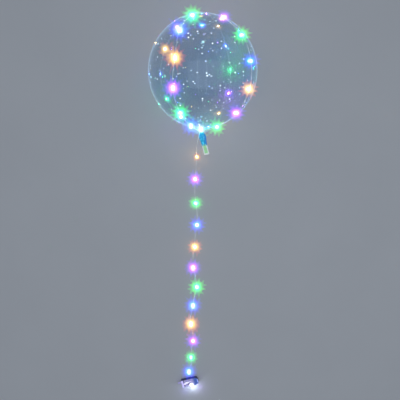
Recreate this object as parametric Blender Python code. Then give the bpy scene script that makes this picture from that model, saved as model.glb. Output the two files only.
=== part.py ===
"""Clear bubble balloon wound with a string of coloured fairy lights, lying on a floor.

The balloon rests on a small flat spot with its crown towards +Y and its neck towards -Y. Its two
loops of wire cross on the crown, and the string runs on from the neck to a battery case.
Metres, +Z up. The origin is the centre of the flat spot that the balloon rests on.
"""

import math

import bmesh
import bpy
from mathutils import Matrix, Vector

# Gap kept between two pieces that touch
TOUCH_GAP = 0.0003

# Balloon film: a sphere with a gathered neck
BALLOON_RADIUS = 0.195
FLAT_SPOT_RADIUS = 0.036
NECK_TILT = math.radians(8.0)
GATHER_START = math.radians(160.0)
GATHER_RISE = 0.012
GATHER_SHIFT = -0.005
PLEAT_COUNT = 10
PLEAT_DEPTH = 0.0022
NECK_RADIUS = 0.005
NECK_LENGTH = 0.006
FILM_SIDES = 40
FILM_RINGS = 18
GATHER_RINGS = 4
GATHER_CROWDING = 0.8

# Tail: the flattened and crinkled end of the film, then the milky filling sleeve beyond it
TAIL_WIDTH_OPEN = 0.027
TAIL_WIDTH_END = 0.0195
TAIL_THICKNESS = 0.0026
TAIL_CRINKLE = 0.0014
TAIL_FLATTENING = 0.7
TAIL_LENGTH = 0.056
TAIL_OPEN_SHARE = 0.36
TAIL_RING_SHARES = (0.12, 0.24, TAIL_OPEN_SHARE, 0.50, 0.66, 0.83, 1.0)
TAIL_WAVES = 1.3
TAIL_WAVE_SLANT = 9.0
TAIL_STEPS = 24
SLEEVE_LENGTH = 0.040
SLEEVE_WIDTH_START = 0.0188
SLEEVE_WIDTH_END = 0.0198
SLEEVE_THICKNESS = 0.0024
SLEEVE_WALL = 0.0006
SLEEVE_SIDES = 16
SLEEVE_RINGS = 3
TAIL_LEAN = math.radians(13.0)
TAIL_DROOP_START = math.radians(2.0)
TAIL_DROOP_END = math.radians(20.0)

# String of lights
WIRE_RADIUS = 0.00045
LIGHT_LENGTH = 0.0060
LIGHT_RADIUS = 0.0018
LIGHT_SHOULDER = 0.8
LIGHT_SHOULDER_PLACE = 0.72
LIGHT_SIDES = 6
SEAT_MARGIN = 0.005

# Turns of wire round the neck
WRAP_TURNS = 2.1
WRAP_PITCH = 0.0014
WRAP_START = math.radians(-90.0)
WRAP_POINTS_PER_TURN = 12
WRAP_END_GAP = 2 * TOUCH_GAP
FILM_LEAD = 0.003
TETHER_LEAD = 0.004

# Battery case
CASE_LENGTH = 0.084
CASE_WIDTH = 0.038
TRAY_HEIGHT = 0.0115
LID_HEIGHT = 0.0060
CASE_CHAMFER = 0.0012
CASE_WALL = 0.0015
CASE_TURN = math.radians(14.0)
CORNER_RADIUS_TAB_END = 0.004
CORNER_RADIUS_ROUND_END = 0.013
CORNER_STEPS = 4
GRIP_INSET = 0.002
GRIP_LENGTH = 0.0078
GRIP_WIDTH = 0.032
GRIP_HEIGHT = 0.0015
TAB_PLACE = 0.0095
TAB_REACH = 0.017
TAB_WIDTH = 0.0095
TAB_THICKNESS = 0.003
SWITCH_PLACE = (-0.0105, -0.0045)
SWITCH_TRAVEL = 0.004
SWITCH_KNOB = (0.0056, 0.0048, 0.0026)
SWITCH_FLANGE = (0.0130, 0.0080, 0.0012)
SWITCH_CHAMFER = 0.0008
LAMP_PLACE = (0.0055, -0.0112)
LAMP_RADIUS = 0.0056
LAMP_HEIGHT = 0.0046
LAMP_RIM = 0.0010
LAMP_SHARPNESS = 0.96
LAMP_CLOSURE = math.radians(83.0)
LAMP_STEPS = 4
LAMP_SIDES = 16
GLAND_PLACE = (0.0020, 0.0072)
GLAND_LENGTH = 0.006
GLAND_COLLAR = 0.002
GLAND_BASE_RADIUS = 0.0026
GLAND_TIP_RADIUS = 0.0012
GLAND_SIDES = 12

# Whether a point of a route carries a light
LIT = True
BARE = False

# Route of the tether, from below the neck to the case's gland: across, along, how far it is lifted
# above its lie on the floor, and its light. It ends at the gland's own height.
TETHER_ROUTE = (
    (-0.0118, -0.2165, 0.1502, BARE),
    (-0.0178, -0.2400, 0.1325, BARE),
    (-0.0213, -0.2630, 0.1035, BARE),
    (-0.0232, -0.2860, 0.0690, BARE),
    (-0.0243, -0.3157, 0.0329, LIT),
    (-0.0252, -0.3420, 0.0125, BARE),
    (-0.0266, -0.3720, 0.0024, BARE),
    (-0.0282, -0.3980, 0.0000, BARE),
    (-0.0292, -0.4200, 0.0000, LIT),
    (-0.0328, -0.4750, 0.0000, BARE),
    (-0.0273, -0.5280, 0.0000, LIT),
    (-0.0222, -0.5780, 0.0000, BARE),
    (-0.0230, -0.6275, 0.0000, LIT),
    (-0.0312, -0.6780, 0.0000, BARE),
    (-0.0346, -0.7305, 0.0000, LIT),
    (-0.0422, -0.7830, 0.0000, BARE),
    (-0.0396, -0.8345, 0.0000, LIT),
    (-0.0292, -0.8820, 0.0000, BARE),
    (-0.0259, -0.9320, 0.0000, LIT),
    (-0.0365, -0.9780, 0.0000, BARE),
    (-0.0427, -1.0275, 0.0000, LIT),
    (-0.0530, -1.0740, 0.0000, BARE),
    (-0.0552, -1.1235, 0.0000, LIT),
    (-0.0452, -1.1690, 0.0000, BARE),
    (-0.0411, -1.2150, 0.0000, LIT),
    (-0.0515, -1.2600, 0.0000, BARE),
    (-0.0538, -1.3075, 0.0000, LIT),
    (-0.0508, -1.3350, 0.0000, BARE),
    (-0.0592, -1.3630, 0.0000, BARE),
    (-0.0666, -1.3872, 0.0002, LIT),
    (-0.0658, -1.4005, 0.0024, BARE),
)
TETHER_END = (-0.0637, -1.4117)

# Routes of the wire's two loops on the film: angle from the crown, angle round from the upper side,
# lift in mm, and light
LOOP_ONE_ROUTE = (
    (175.6, -58.0, 0.0, BARE),
    (170.0, -44.0, 0.0, BARE),
    (155.0, -31.0, 0.0, LIT),
    (128.8, -30.0, 0.0, LIT),
    (102.0, -30.5, 0.0, LIT),
    (75.5, -27.5, 0.0, LIT),
    (48.2, -30.0, 0.0, LIT),
    (22.0, -27.5, 0.0, LIT),
    (8.8, 156.0, 0.0, LIT),
    (34.6, 148.5, 0.0, LIT),
    (60.5, 148.3, 0.0, LIT),
    (87.4, 145.1, 0.0, LIT),
    (114.5, 144.2, 0.0, LIT),
    (142.2, 147.3, 0.0, LIT),
    (169.2, 140.0, 0.0, LIT),
    (174.5, 116.0, 0.0, BARE),
    (174.6, 82.0, 0.0, BARE),
)
LOOP_TWO_ROUTE = (
    (160.8, 55.0, 0.0, LIT),
    (131.6, 52.5, 0.0, LIT),
    (104.7, 55.6, 0.0, LIT),
    (77.9, 54.8, 0.0, LIT),
    (52.0, 54.5, 0.0, LIT),
    (28.2, 48.0, 0.0, LIT),
    (18.0, 84.0, 0.0, BARE),
    (22.8, 121.5, 0.0, LIT),
    (27.0, 149.0, 1.6, BARE),
    (33.6, -178.9, 0.0, LIT),
    (26.0, -152.0, 0.0, BARE),
    (15.0, -131.0, 0.0, LIT),
    (22.0, -110.0, 0.0, BARE),
    (37.4, -130.5, 0.0, LIT),
    (64.4, -126.6, 0.0, LIT),
    (91.5, -124.0, 0.0, LIT),
    (119.7, -123.5, 0.0, LIT),
    (147.6, -126.0, 0.0, LIT),
    (166.0, -139.0, 0.0, BARE),
    (172.6, -172.0, 0.0, LIT),
    (174.3, 162.0, 0.0, BARE),
)

MILLIMETRE = 0.001
CENTRE_HEIGHT = math.sqrt(BALLOON_RADIUS ** 2 - FLAT_SPOT_RADIUS ** 2)
BALLOON_POSE = Matrix.Translation((0.0, 0.0, CENTRE_HEIGHT)) @ Matrix.Rotation(
    NECK_TILT - math.pi / 2, 4, "X")
WIRE_LIFT = LIGHT_RADIUS + TOUCH_GAP
SEAT_LENGTH = LIGHT_LENGTH + 2 * SEAT_MARGIN
BORE_RADIUS = WIRE_RADIUS + TOUCH_GAP
SMOOTH_ANGLE = math.radians(35.0)
PATH_STEP = 0.002


def clear_scene():
    """Remove every object that the scene starts with."""
    for thing in list(bpy.data.objects):
        bpy.data.objects.remove(thing, do_unlink=True)


def material(name, colour, roughness, metallic=0.0, transmission=0.0):
    """Make a Principled material."""
    made = bpy.data.materials.new(name)
    made.use_nodes = True
    shader = made.node_tree.nodes["Principled BSDF"]
    shader.inputs["Base Color"].default_value = (*colour, 1.0)
    shader.inputs["Roughness"].default_value = roughness
    shader.inputs["Metallic"].default_value = metallic
    shader.inputs["Transmission Weight"].default_value = transmission
    return made


def place(name, data, finish, parent=None):
    """Put mesh or curve data in the scene as a named object with its material."""
    thing = bpy.data.objects.new(name, data)
    bpy.context.scene.collection.objects.link(thing)
    if not data.materials:
        data.materials.append(finish)
    thing.parent = parent
    return thing


def empty(name, matrix):
    """Add an empty that carries a group of pieces."""
    carrier = bpy.data.objects.new(name, None)
    bpy.context.scene.collection.objects.link(carrier)
    carrier.matrix_world = matrix
    return carrier


def finish_mesh(builder, name, smooth=True):
    """Turn a bmesh into a mesh whose faces point out."""
    bmesh.ops.recalc_face_normals(builder, faces=builder.faces[:])
    mesh = bpy.data.meshes.new(name)
    builder.to_mesh(mesh)
    builder.free()
    if smooth:
        mesh.shade_smooth()
        mesh.set_sharp_from_angle(angle=SMOOTH_ANGLE)
    return mesh


def loft(builder, rings, closed_ends=True, joined=False):
    """Skin a row of point rings, with flat ends or joined end to end."""
    made = [[builder.verts.new(point) for point in ring] for ring in rings]
    pairs = list(zip(made, made[1:]))
    if joined:
        pairs.append((made[-1], made[0]))
    count = len(rings[0])
    for lower, upper in pairs:
        for side in range(count):
            after = (side + 1) % count
            builder.faces.new((lower[side], lower[after], upper[after], upper[side]))
    if closed_ends and not joined:
        builder.faces.new(made[0])
        builder.faces.new(made[-1])
    return made


def film_radius(polar):
    """Distance of the film from the balloon's centre at an angle from the crown."""
    if polar <= GATHER_START:
        return BALLOON_RADIUS
    share = (polar - GATHER_START) / (math.pi - GATHER_START)
    return BALLOON_RADIUS + GATHER_RISE * share ** 2


def gather_shift(polar):
    """How far the gathered film is pulled to one side at an angle from the crown."""
    if polar <= GATHER_START:
        return 0.0
    share = (polar - GATHER_START) / (math.pi - GATHER_START)
    return GATHER_SHIFT * share ** 2


def around(polar, azimuth, distance):
    """Point round the balloon's centre, pulled aside with the gather, in the balloon's own axes."""
    ring = distance * math.sin(polar)
    return Vector((gather_shift(polar) + ring * math.sin(azimuth), -ring * math.cos(azimuth),
                   distance * math.cos(polar)))


def neck_polar():
    """Angle from the crown at which the gathered film meets the tied neck."""
    return math.pi - math.asin(NECK_RADIUS / (BALLOON_RADIUS + GATHER_RISE))


def neck_top():
    """Height on the balloon's axis at which the tied neck starts."""
    polar = neck_polar()
    return film_radius(polar) * math.cos(polar)


def neck_place(height):
    """Middle of the tied neck at a height on the balloon's axis."""
    return Vector((gather_shift(neck_polar()), 0.0, height))


def film_ring(polar, pleat):
    """Ring of film at an angle from the crown, drawn in by the pleats of the gather."""
    ring = []
    for side in range(FILM_SIDES):
        azimuth = math.tau * side / FILM_SIDES
        fold = 0.5 - 0.5 * math.cos(PLEAT_COUNT * azimuth)
        ring.append(around(polar, azimuth, film_radius(polar) - pleat * fold))
    return ring


def tail_frame(distance):
    """Centre and axes of the tail at a distance from the tied neck: along, across and front."""
    centre = neck_place(neck_top() - NECK_LENGTH)
    reach = TAIL_LENGTH + TOUCH_GAP + SLEEVE_LENGTH
    for step in range(TAIL_STEPS + 1):
        share = distance * step / TAIL_STEPS / reach
        droop = TAIL_DROOP_START + (TAIL_DROOP_END - TAIL_DROOP_START) * share
        along = Vector((math.sin(TAIL_LEAN), math.cos(TAIL_LEAN) * math.sin(droop),
                        -math.cos(TAIL_LEAN) * math.cos(droop)))
        if step:
            centre = centre + along * (distance / TAIL_STEPS)
    across = (Vector((1.0, 0.0, 0.0)) - along * along.x).normalized()
    return centre, along, across, along.cross(across)


def tail_ring(share):
    """Ring of the film tail at a share of its length, opening out of the neck and crinkled."""
    centre, along, across, front = tail_frame(TAIL_LENGTH * share)
    opening = min(1.0, share / TAIL_OPEN_SHARE)
    spread = math.sin(opening * math.pi / 2)
    narrowing = max(0.0, (share - TAIL_OPEN_SHARE) / (1.0 - TAIL_OPEN_SHARE))
    width = 2 * NECK_RADIUS + (TAIL_WIDTH_OPEN - 2 * NECK_RADIUS) * spread
    width -= (TAIL_WIDTH_OPEN - TAIL_WIDTH_END) * narrowing
    thickness = 2 * NECK_RADIUS + (TAIL_THICKNESS - 2 * NECK_RADIUS) * spread
    crinkle = TAIL_CRINKLE * opening * (1.0 - TAIL_FLATTENING * narrowing)
    ring = []
    for side in range(FILM_SIDES):
        azimuth = math.tau * side / FILM_SIDES
        sideways = math.sin(azimuth)
        wave = crinkle * math.sin(math.tau * TAIL_WAVES * sideways + TAIL_WAVE_SLANT * share)
        depth = thickness / 2 * math.cos(azimuth) + wave * (1.0 - sideways ** 4)
        ring.append(centre + across * (width / 2 * sideways) + front * depth)
    return ring


def film_mesh():
    """Sealed film: sphere, pleated gather, tied neck and flat crinkled tail, on its flat spot."""
    builder = bmesh.new()
    rings = []
    for step in range(1, FILM_RINGS + 1):
        rings.append(film_ring(GATHER_START * step / FILM_RINGS, 0.0))
    for step in range(1, GATHER_RINGS + 1):
        share = step / GATHER_RINGS
        polar = GATHER_START + (neck_polar() - GATHER_START) * share ** GATHER_CROWDING
        rings.append(film_ring(polar, PLEAT_DEPTH * math.sin(math.pi * share)))
    neck = [Vector((point.x, point.y, neck_top() - NECK_LENGTH)) for point in rings[-1]]
    rings.append(neck)
    for share in TAIL_RING_SHARES:
        rings.append(tail_ring(share))
    made = loft(builder, rings, closed_ends=False)
    crown = builder.verts.new((0.0, 0.0, BALLOON_RADIUS))
    for side in range(FILM_SIDES):
        builder.faces.new((crown, made[0][side], made[0][(side + 1) % FILM_SIDES]))
    builder.faces.new(made[-1])
    cut_flat_spot(builder)
    return finish_mesh(builder, "balloon_film")


def cut_flat_spot(builder):
    """Cut the film flat where it rests on the floor."""
    to_local = BALLOON_POSE.inverted()
    down = (to_local.to_3x3() @ Vector((0.0, 0.0, -1.0))).normalized()
    geometry = builder.verts[:] + builder.edges[:] + builder.faces[:]
    cut = bmesh.ops.bisect_plane(builder, geom=geometry, dist=1e-6, plane_co=to_local.translation,
                                 plane_no=down, clear_outer=True)
    rim = [item for item in cut["geom_cut"] if isinstance(item, bmesh.types.BMEdge)]
    bmesh.ops.contextual_create(builder, geom=rim)


def sleeve_mesh():
    """Flat milky filling sleeve, a thin tube open at its ends."""
    builder = bmesh.new()
    outer = []
    inner = []
    for step in range(SLEEVE_RINGS + 1):
        share = step / SLEEVE_RINGS
        distance = TAIL_LENGTH + TOUCH_GAP + SLEEVE_LENGTH * share
        centre, along, across, front = tail_frame(distance)
        width = SLEEVE_WIDTH_START + (SLEEVE_WIDTH_END - SLEEVE_WIDTH_START) * share
        for rings, wall in ((outer, 0.0), (inner, SLEEVE_WALL)):
            ring = []
            for side in range(SLEEVE_SIDES):
                azimuth = math.tau * side / SLEEVE_SIDES
                ring.append(centre + across * ((width / 2 - wall) * math.sin(azimuth))
                            + front * ((SLEEVE_THICKNESS / 2 - wall) * math.cos(azimuth)))
            rings.append(ring)
    loft(builder, outer + inner[::-1], joined=True)
    return finish_mesh(builder, "filling_sleeve")


def smooth_path(points):
    """Dense points on a smooth curve through a route's own points, and where those points are in it."""
    points = [Vector(point) for point in points]
    spans = [(b - a).length for a, b in zip(points, points[1:])]
    slopes = [(points[1] - points[0]) / spans[0]]
    for index in range(1, len(points) - 1):
        before = (points[index] - points[index - 1]) / spans[index - 1]
        after = (points[index + 1] - points[index]) / spans[index]
        total = spans[index - 1] + spans[index]
        slopes.append((before * spans[index] + after * spans[index - 1]) / total)
    slopes.append((points[-1] - points[-2]) / spans[-1])
    path = []
    knots = []
    for index, span in enumerate(spans):
        knots.append(len(path))
        count = max(2, round(span / PATH_STEP))
        for part in range(count):
            t = part / count
            path.append(points[index] * (2 * t ** 3 - 3 * t ** 2 + 1)
                        + slopes[index] * span * (t ** 3 - 2 * t ** 2 + t)
                        + points[index + 1] * (3 * t ** 2 - 2 * t ** 3)
                        + slopes[index + 1] * span * (t ** 3 - t ** 2))
    knots.append(len(path))
    path.append(points[-1])
    return path, knots


class Run:
    """A smooth run of wire that carries lights at some of its route's points."""

    def __init__(self, points, lit):
        self.path, knots = smooth_path(points)
        self.along = [0.0]
        for a, b in zip(self.path, self.path[1:]):
            self.along.append(self.along[-1] + (b - a).length)
        self.length = self.along[-1]
        self.lights = [self.along[knot] for knot, light in zip(knots, lit) if light]

    def at(self, distance):
        """Point at a length along the run."""
        distance = min(max(distance, 0.0), self.length)
        low, high = 0, len(self.along) - 1
        while high - low > 1:
            middle = (low + high) // 2
            if self.along[middle] <= distance:
                low = middle
            else:
                high = middle
        share = (distance - self.along[low]) / (self.along[high] - self.along[low])
        return self.path[low].lerp(self.path[high], share)

    def tube_points(self):
        """Points of the tube, set out so that each light sits in the middle of a straight piece."""
        distances = [0.0]
        for place in self.lights:
            extend(distances, place - SEAT_LENGTH / 2)
            distances.append(place + SEAT_LENGTH / 2)
        extend(distances, self.length)
        return [self.at(distance) for distance in distances]

    def light_seats(self):
        """Centre and direction of the straight pieces that the lights sit on."""
        seats = []
        for distance in self.lights:
            before = self.at(distance - SEAT_LENGTH / 2)
            after = self.at(distance + SEAT_LENGTH / 2)
            seats.append(((before + after) / 2, (after - before).normalized()))
        return seats


def extend(distances, end):
    """Carry a list of distances on to an end in even steps of about a light's seat."""
    start = distances[-1]
    count = max(1, round((end - start) / SEAT_LENGTH))
    for part in range(1, count + 1):
        distances.append(start + (end - start) * part / count)


def wrap_points():
    """Turns of wire round the tied neck, from its tail end up to the film."""
    radius = NECK_RADIUS + TOUCH_GAP + WIRE_RADIUS
    count = round(WRAP_TURNS * WRAP_POINTS_PER_TURN)
    rise = WRAP_TURNS * WRAP_PITCH
    low = neck_top() - NECK_LENGTH / 2 - rise / 2
    points = []
    for step in range(count + 1):
        share = step / count
        azimuth = WRAP_START + math.tau * WRAP_TURNS * share
        turn = Vector((radius * math.sin(azimuth), -radius * math.cos(azimuth), 0.0))
        points.append(neck_place(low + rise * share) + turn)
    return points


def film_run():
    """Wire on the film, from the wrap over both loops."""
    wrap = wrap_points()
    onward = (wrap[-1] - wrap[-2]).normalized()
    points = [wrap[-1] + onward * lead for lead in (WRAP_END_GAP, FILM_LEAD)]
    lit = [BARE] * len(points)
    for polar, azimuth, lift, light in LOOP_ONE_ROUTE + LOOP_TWO_ROUTE:
        polar = math.radians(polar)
        distance = film_radius(polar) + WIRE_LIFT + lift * MILLIMETRE
        points.append(around(polar, math.radians(azimuth), distance))
        lit.append(light)
    return Run(points, lit)


def tether_run():
    """Wire from the wrap down to the floor and along it to the case."""
    wrap = wrap_points()
    backward = (wrap[0] - wrap[1]).normalized()
    points = [BALLOON_POSE @ (wrap[0] + backward * lead) for lead in (WRAP_END_GAP, TETHER_LEAD)]
    lit = [BARE] * len(points)
    for x, y, lift, light in TETHER_ROUTE:
        points.append(Vector((x, y, WIRE_LIFT + lift)))
        lit.append(light)
    points.append(tether_end())
    lit.append(BARE)
    return Run(points, lit)


def tether_end():
    """Point at which the tether meets the case's gland."""
    return Vector((*TETHER_END, GLAND_PLACE[1]))


def wire_curve(name, points, resolution):
    """Round wire along its points, with filled ends."""
    curve = bpy.data.curves.new(name, "CURVE")
    curve.dimensions = "3D"
    curve.bevel_depth = WIRE_RADIUS
    curve.bevel_resolution = resolution
    curve.use_fill_caps = True
    spline = curve.splines.new("POLY")
    spline.points.add(len(points) - 1)
    for knot, point in zip(spline.points, points):
        knot.co = (*point, 1.0)
    return curve


def light_mesh():
    """Drop of clear resin round the wire, turned about X, with a bore for the wire."""
    half = LIGHT_LENGTH / 2
    shoulder = (half * LIGHT_SHOULDER_PLACE, LIGHT_RADIUS * LIGHT_SHOULDER)
    profile = [(half, BORE_RADIUS), shoulder, (0.0, LIGHT_RADIUS), (-shoulder[0], shoulder[1]),
               (-half, BORE_RADIUS)]
    builder = bmesh.new()
    rings = []
    for place_along, radius in profile:
        ring = []
        for side in range(LIGHT_SIDES):
            angle = math.tau * side / LIGHT_SIDES
            ring.append(Vector((place_along, radius * math.cos(angle), radius * math.sin(angle))))
        rings.append(ring)
    loft(builder, rings, joined=True)
    return finish_mesh(builder, "light")


def add_lights(prefix, seats, numbers, finish, mesh, parent=None):
    """Put a light on each seat, with its number along the string from the case."""
    for (centre, direction), number in zip(seats, numbers):
        light = place(f"{prefix}_{number:02d}", mesh, finish, parent)
        light.location = centre
        light.rotation_mode = "QUATERNION"
        light.rotation_quaternion = direction.to_track_quat("X", "Z")


def case_outline(inset=0.0):
    """Rounded outline of the case, with tight corners at the tab end and wide ones opposite."""
    outline = []
    half_length = CASE_LENGTH / 2
    half_width = CASE_WIDTH / 2
    corners = ((1, 1, CORNER_RADIUS_ROUND_END), (-1, 1, CORNER_RADIUS_TAB_END),
               (-1, -1, CORNER_RADIUS_TAB_END), (1, -1, CORNER_RADIUS_ROUND_END))
    for quarter, (side_x, side_y, radius) in enumerate(corners):
        for step in range(CORNER_STEPS + 1):
            angle = math.pi / 2 * (quarter + step / CORNER_STEPS)
            reach = radius - inset
            outline.append((side_x * (half_length - radius) + reach * math.cos(angle),
                            side_y * (half_width - radius) + reach * math.sin(angle)))
    return outline


def case_ring(inset, height):
    """Ring of the case's outline at a height."""
    return [Vector((x, y, height)) for x, y in case_outline(inset)]


def tray_mesh():
    """Hollow tray of the case, open at the top."""
    builder = bmesh.new()
    loft(builder, [case_ring(CASE_WALL, CASE_WALL), case_ring(CASE_WALL, TRAY_HEIGHT),
                   case_ring(0.0, TRAY_HEIGHT), case_ring(0.0, CASE_CHAMFER), case_ring(CASE_CHAMFER, 0.0)])
    return finish_mesh(builder, "battery_case")


def lid_mesh():
    """Hollow lid of the case, with a chamfered top edge."""
    bottom = TRAY_HEIGHT + TOUCH_GAP
    top = bottom + LID_HEIGHT
    builder = bmesh.new()
    loft(builder, [case_ring(CASE_WALL, top - CASE_WALL), case_ring(CASE_WALL, bottom),
                   case_ring(0.0, bottom), case_ring(0.0, top - CASE_CHAMFER), case_ring(CASE_CHAMFER, top)])
    return finish_mesh(builder, "battery_lid")


def lid_top():
    """Height of the lid's top face above the case's underside."""
    return TRAY_HEIGHT + TOUCH_GAP + LID_HEIGHT


def box_mesh(name, low, high):
    """Plain box between two corners."""
    builder = bmesh.new()
    corners = [(low[0], low[1]), (high[0], low[1]), (high[0], high[1]), (low[0], high[1])]
    loft(builder, [[Vector((x, y, height)) for x, y in corners] for height in (low[2], high[2])])
    return finish_mesh(builder, name, smooth=False)


def guide(name, mesh, parent):
    """Object that only shapes another: shown as wire and left out of the model."""
    thing = bpy.data.objects.new(name, mesh)
    bpy.context.scene.collection.objects.link(thing)
    thing.parent = parent
    thing.hide_render = True
    thing.display_type = "WIRE"
    return thing


def combine(target, other, operation):
    """Join or cut a piece with a guide."""
    modifier = target.modifiers.new(other.name, "BOOLEAN")
    modifier.operation = operation
    modifier.solver = "EXACT"
    modifier.object = other


def add_lid(parent, finish):
    """Lid with its grip bar, release tab and switch slot."""
    lid = place("battery_lid", lid_mesh(), finish, parent)
    end = -CASE_LENGTH / 2
    bite = CASE_WALL / 2
    grip = box_mesh("grip_bar", (end + GRIP_INSET, -GRIP_WIDTH / 2, lid_top() - bite),
                    (end + GRIP_INSET + GRIP_LENGTH, GRIP_WIDTH / 2, lid_top() + GRIP_HEIGHT))
    combine(lid, guide("grip_bar_guide", grip, parent), "UNION")
    middle = TRAY_HEIGHT + TOUCH_GAP + LID_HEIGHT / 2
    tab = box_mesh("release_tab", (end - TAB_REACH, TAB_PLACE - TAB_WIDTH / 2, middle - TAB_THICKNESS / 2),
                   (end + bite, TAB_PLACE + TAB_WIDTH / 2, middle + TAB_THICKNESS / 2))
    combine(lid, guide("release_tab_guide", tab, parent), "UNION")
    x, y = SWITCH_PLACE
    half_x = SWITCH_KNOB[0] / 2 + TOUCH_GAP
    half_y = SWITCH_KNOB[1] / 2 + TOUCH_GAP
    slot = box_mesh("switch_slot", (x - half_x, y - half_y, lid_top() - 2 * CASE_WALL),
                    (x + half_x + SWITCH_TRAVEL, y + half_y, lid_top() + CASE_WALL))
    combine(lid, guide("switch_slot_guide", slot, parent), "DIFFERENCE")


def switch_mesh():
    """Switch knob with the flange that keeps it under the lid."""
    under = lid_top() - CASE_WALL - TOUCH_GAP
    builder = bmesh.new()
    half_x, half_y, rise = SWITCH_KNOB[0] / 2, SWITCH_KNOB[1] / 2, SWITCH_KNOB[2]
    flange_x, flange_y, flange = SWITCH_FLANGE[0] / 2, SWITCH_FLANGE[1] / 2, SWITCH_FLANGE[2]
    top = lid_top() + rise
    levels = ((flange_x, flange_y, under - flange), (flange_x, flange_y, under), (half_x, half_y, under),
              (half_x, half_y, top - SWITCH_CHAMFER), (half_x - SWITCH_CHAMFER, half_y - SWITCH_CHAMFER, top))
    rings = []
    for x, y, height in levels:
        rings.append([Vector((sx * x, sy * y, height)) for sx, sy in ((-1, -1), (1, -1), (1, 1), (-1, 1))])
    loft(builder, rings)
    return finish_mesh(builder, "slide_switch", smooth=False)


def turned_mesh(name, profile, sides):
    """Solid turned about Z from a profile of radius and height, with flat ends."""
    builder = bmesh.new()
    rings = []
    for radius, height in profile:
        rings.append([Vector((radius * math.cos(math.tau * side / sides),
                              radius * math.sin(math.tau * side / sides), height)) for side in range(sides)])
    loft(builder, rings)
    return finish_mesh(builder, name)


def lamp_mesh():
    """Low clear dome of the case's lamp."""
    profile = [(LAMP_RADIUS, 0.0), (LAMP_RADIUS, LAMP_RIM)]
    for step in range(1, LAMP_STEPS + 1):
        angle = LAMP_CLOSURE * step / LAMP_STEPS
        profile.append((LAMP_RADIUS * LAMP_SHARPNESS * math.cos(angle),
                        LAMP_RIM + (LAMP_HEIGHT - LAMP_RIM) * math.sin(angle)))
    return turned_mesh("lamp_lens", profile, LAMP_SIDES)


def gland_mesh():
    """Tapered gland that the wire leaves the case by, turned about Z with its tip up."""
    profile = [(GLAND_BASE_RADIUS, 0.0), (GLAND_BASE_RADIUS, GLAND_COLLAR), (GLAND_TIP_RADIUS, GLAND_LENGTH)]
    return turned_mesh("wire_gland", profile, GLAND_SIDES)


def case_pose():
    """Place of the case, set so that its gland meets the end of the tether."""
    turn = Matrix.Rotation(CASE_TURN, 4, "Z")
    tip = Vector((GLAND_PLACE[0], CASE_WIDTH / 2 + TOUCH_GAP + GLAND_LENGTH + TOUCH_GAP, GLAND_PLACE[1]))
    corner = tether_end() - turn.to_3x3() @ tip
    return Matrix.Translation((corner.x, corner.y, 0.0)) @ turn


def build_balloon(wire_finish, light_finish, light):
    """Film, sleeve, neck wrap and the wire and lights on the film."""
    film_finish = material("clear_film", (0.86, 0.93, 0.95), 0.04, transmission=0.95)
    sleeve_finish = material("milky_sleeve", (0.80, 0.90, 0.84), 0.35, transmission=0.3)
    balloon = empty("balloon_pose", BALLOON_POSE)
    place("balloon_film", film_mesh(), film_finish, balloon)
    place("filling_sleeve", sleeve_mesh(), sleeve_finish, balloon)
    place("neck_wrap", wire_curve("neck_wrap", wrap_points(), 1), wire_finish, balloon)
    run = film_run()
    place("balloon_wire", wire_curve("balloon_wire", run.tube_points(), 1), wire_finish, balloon)
    seats = run.light_seats()
    add_lights("balloon_light", seats, range(1, len(seats) + 1), light_finish, light, balloon)


def build_tether(wire_finish, light_finish, light):
    """Wire and lights between the neck and the case."""
    run = tether_run()
    place("tether_wire", wire_curve("tether_wire", run.tube_points(), 2), wire_finish)
    seats = run.light_seats()
    add_lights("tether_light", seats, range(len(seats), 0, -1), light_finish, light)


def build_case():
    """Battery case with lid, switch, lamp and gland."""
    plastic = material("case_plastic", (0.72, 0.70, 0.82), 0.30, transmission=0.25)
    switch_finish = material("switch_plastic", (0.12, 0.14, 0.18), 0.40)
    lamp_finish = material("lamp_resin", (0.92, 0.95, 1.0), 0.05, transmission=0.9)
    case = empty("case_pose", case_pose())
    place("battery_case", tray_mesh(), plastic, case)
    add_lid(case, plastic)
    switch = place("slide_switch", switch_mesh(), switch_finish, case)
    switch.location = (SWITCH_PLACE[0], SWITCH_PLACE[1], 0.0)
    lamp = place("lamp_lens", lamp_mesh(), lamp_finish, case)
    lamp.location = (LAMP_PLACE[0], LAMP_PLACE[1], lid_top() + TOUCH_GAP)
    gland = place("wire_gland", gland_mesh(), plastic, case)
    gland.location = (GLAND_PLACE[0], CASE_WIDTH / 2 + TOUCH_GAP, GLAND_PLACE[1])
    gland.rotation_euler = (-math.pi / 2, 0.0, 0.0)


def main():
    """Build the whole model."""
    clear_scene()
    wire_finish = material("wire_enamel", (0.72, 0.70, 0.68), 0.30, metallic=0.9)
    light_finish = material("light_resin", (0.90, 0.92, 0.95), 0.08, transmission=0.8)
    light = light_mesh()
    build_balloon(wire_finish, light_finish, light)
    build_tether(wire_finish, light_finish, light)
    build_case()


main()
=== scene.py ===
"""Clear bubble balloon wound with coloured fairy lights, lying on a pale floor beside its battery case.

Metres, +Z up. The crown points to +Y, the neck to -Y, and the string of lights runs on along the floor
to the case.
"""

import logging
import math
from collections.abc import Iterable, Sequence
from dataclasses import dataclass, field
from enum import Enum

import bmesh
import bpy
from mathutils import Matrix, Vector, noise


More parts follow.
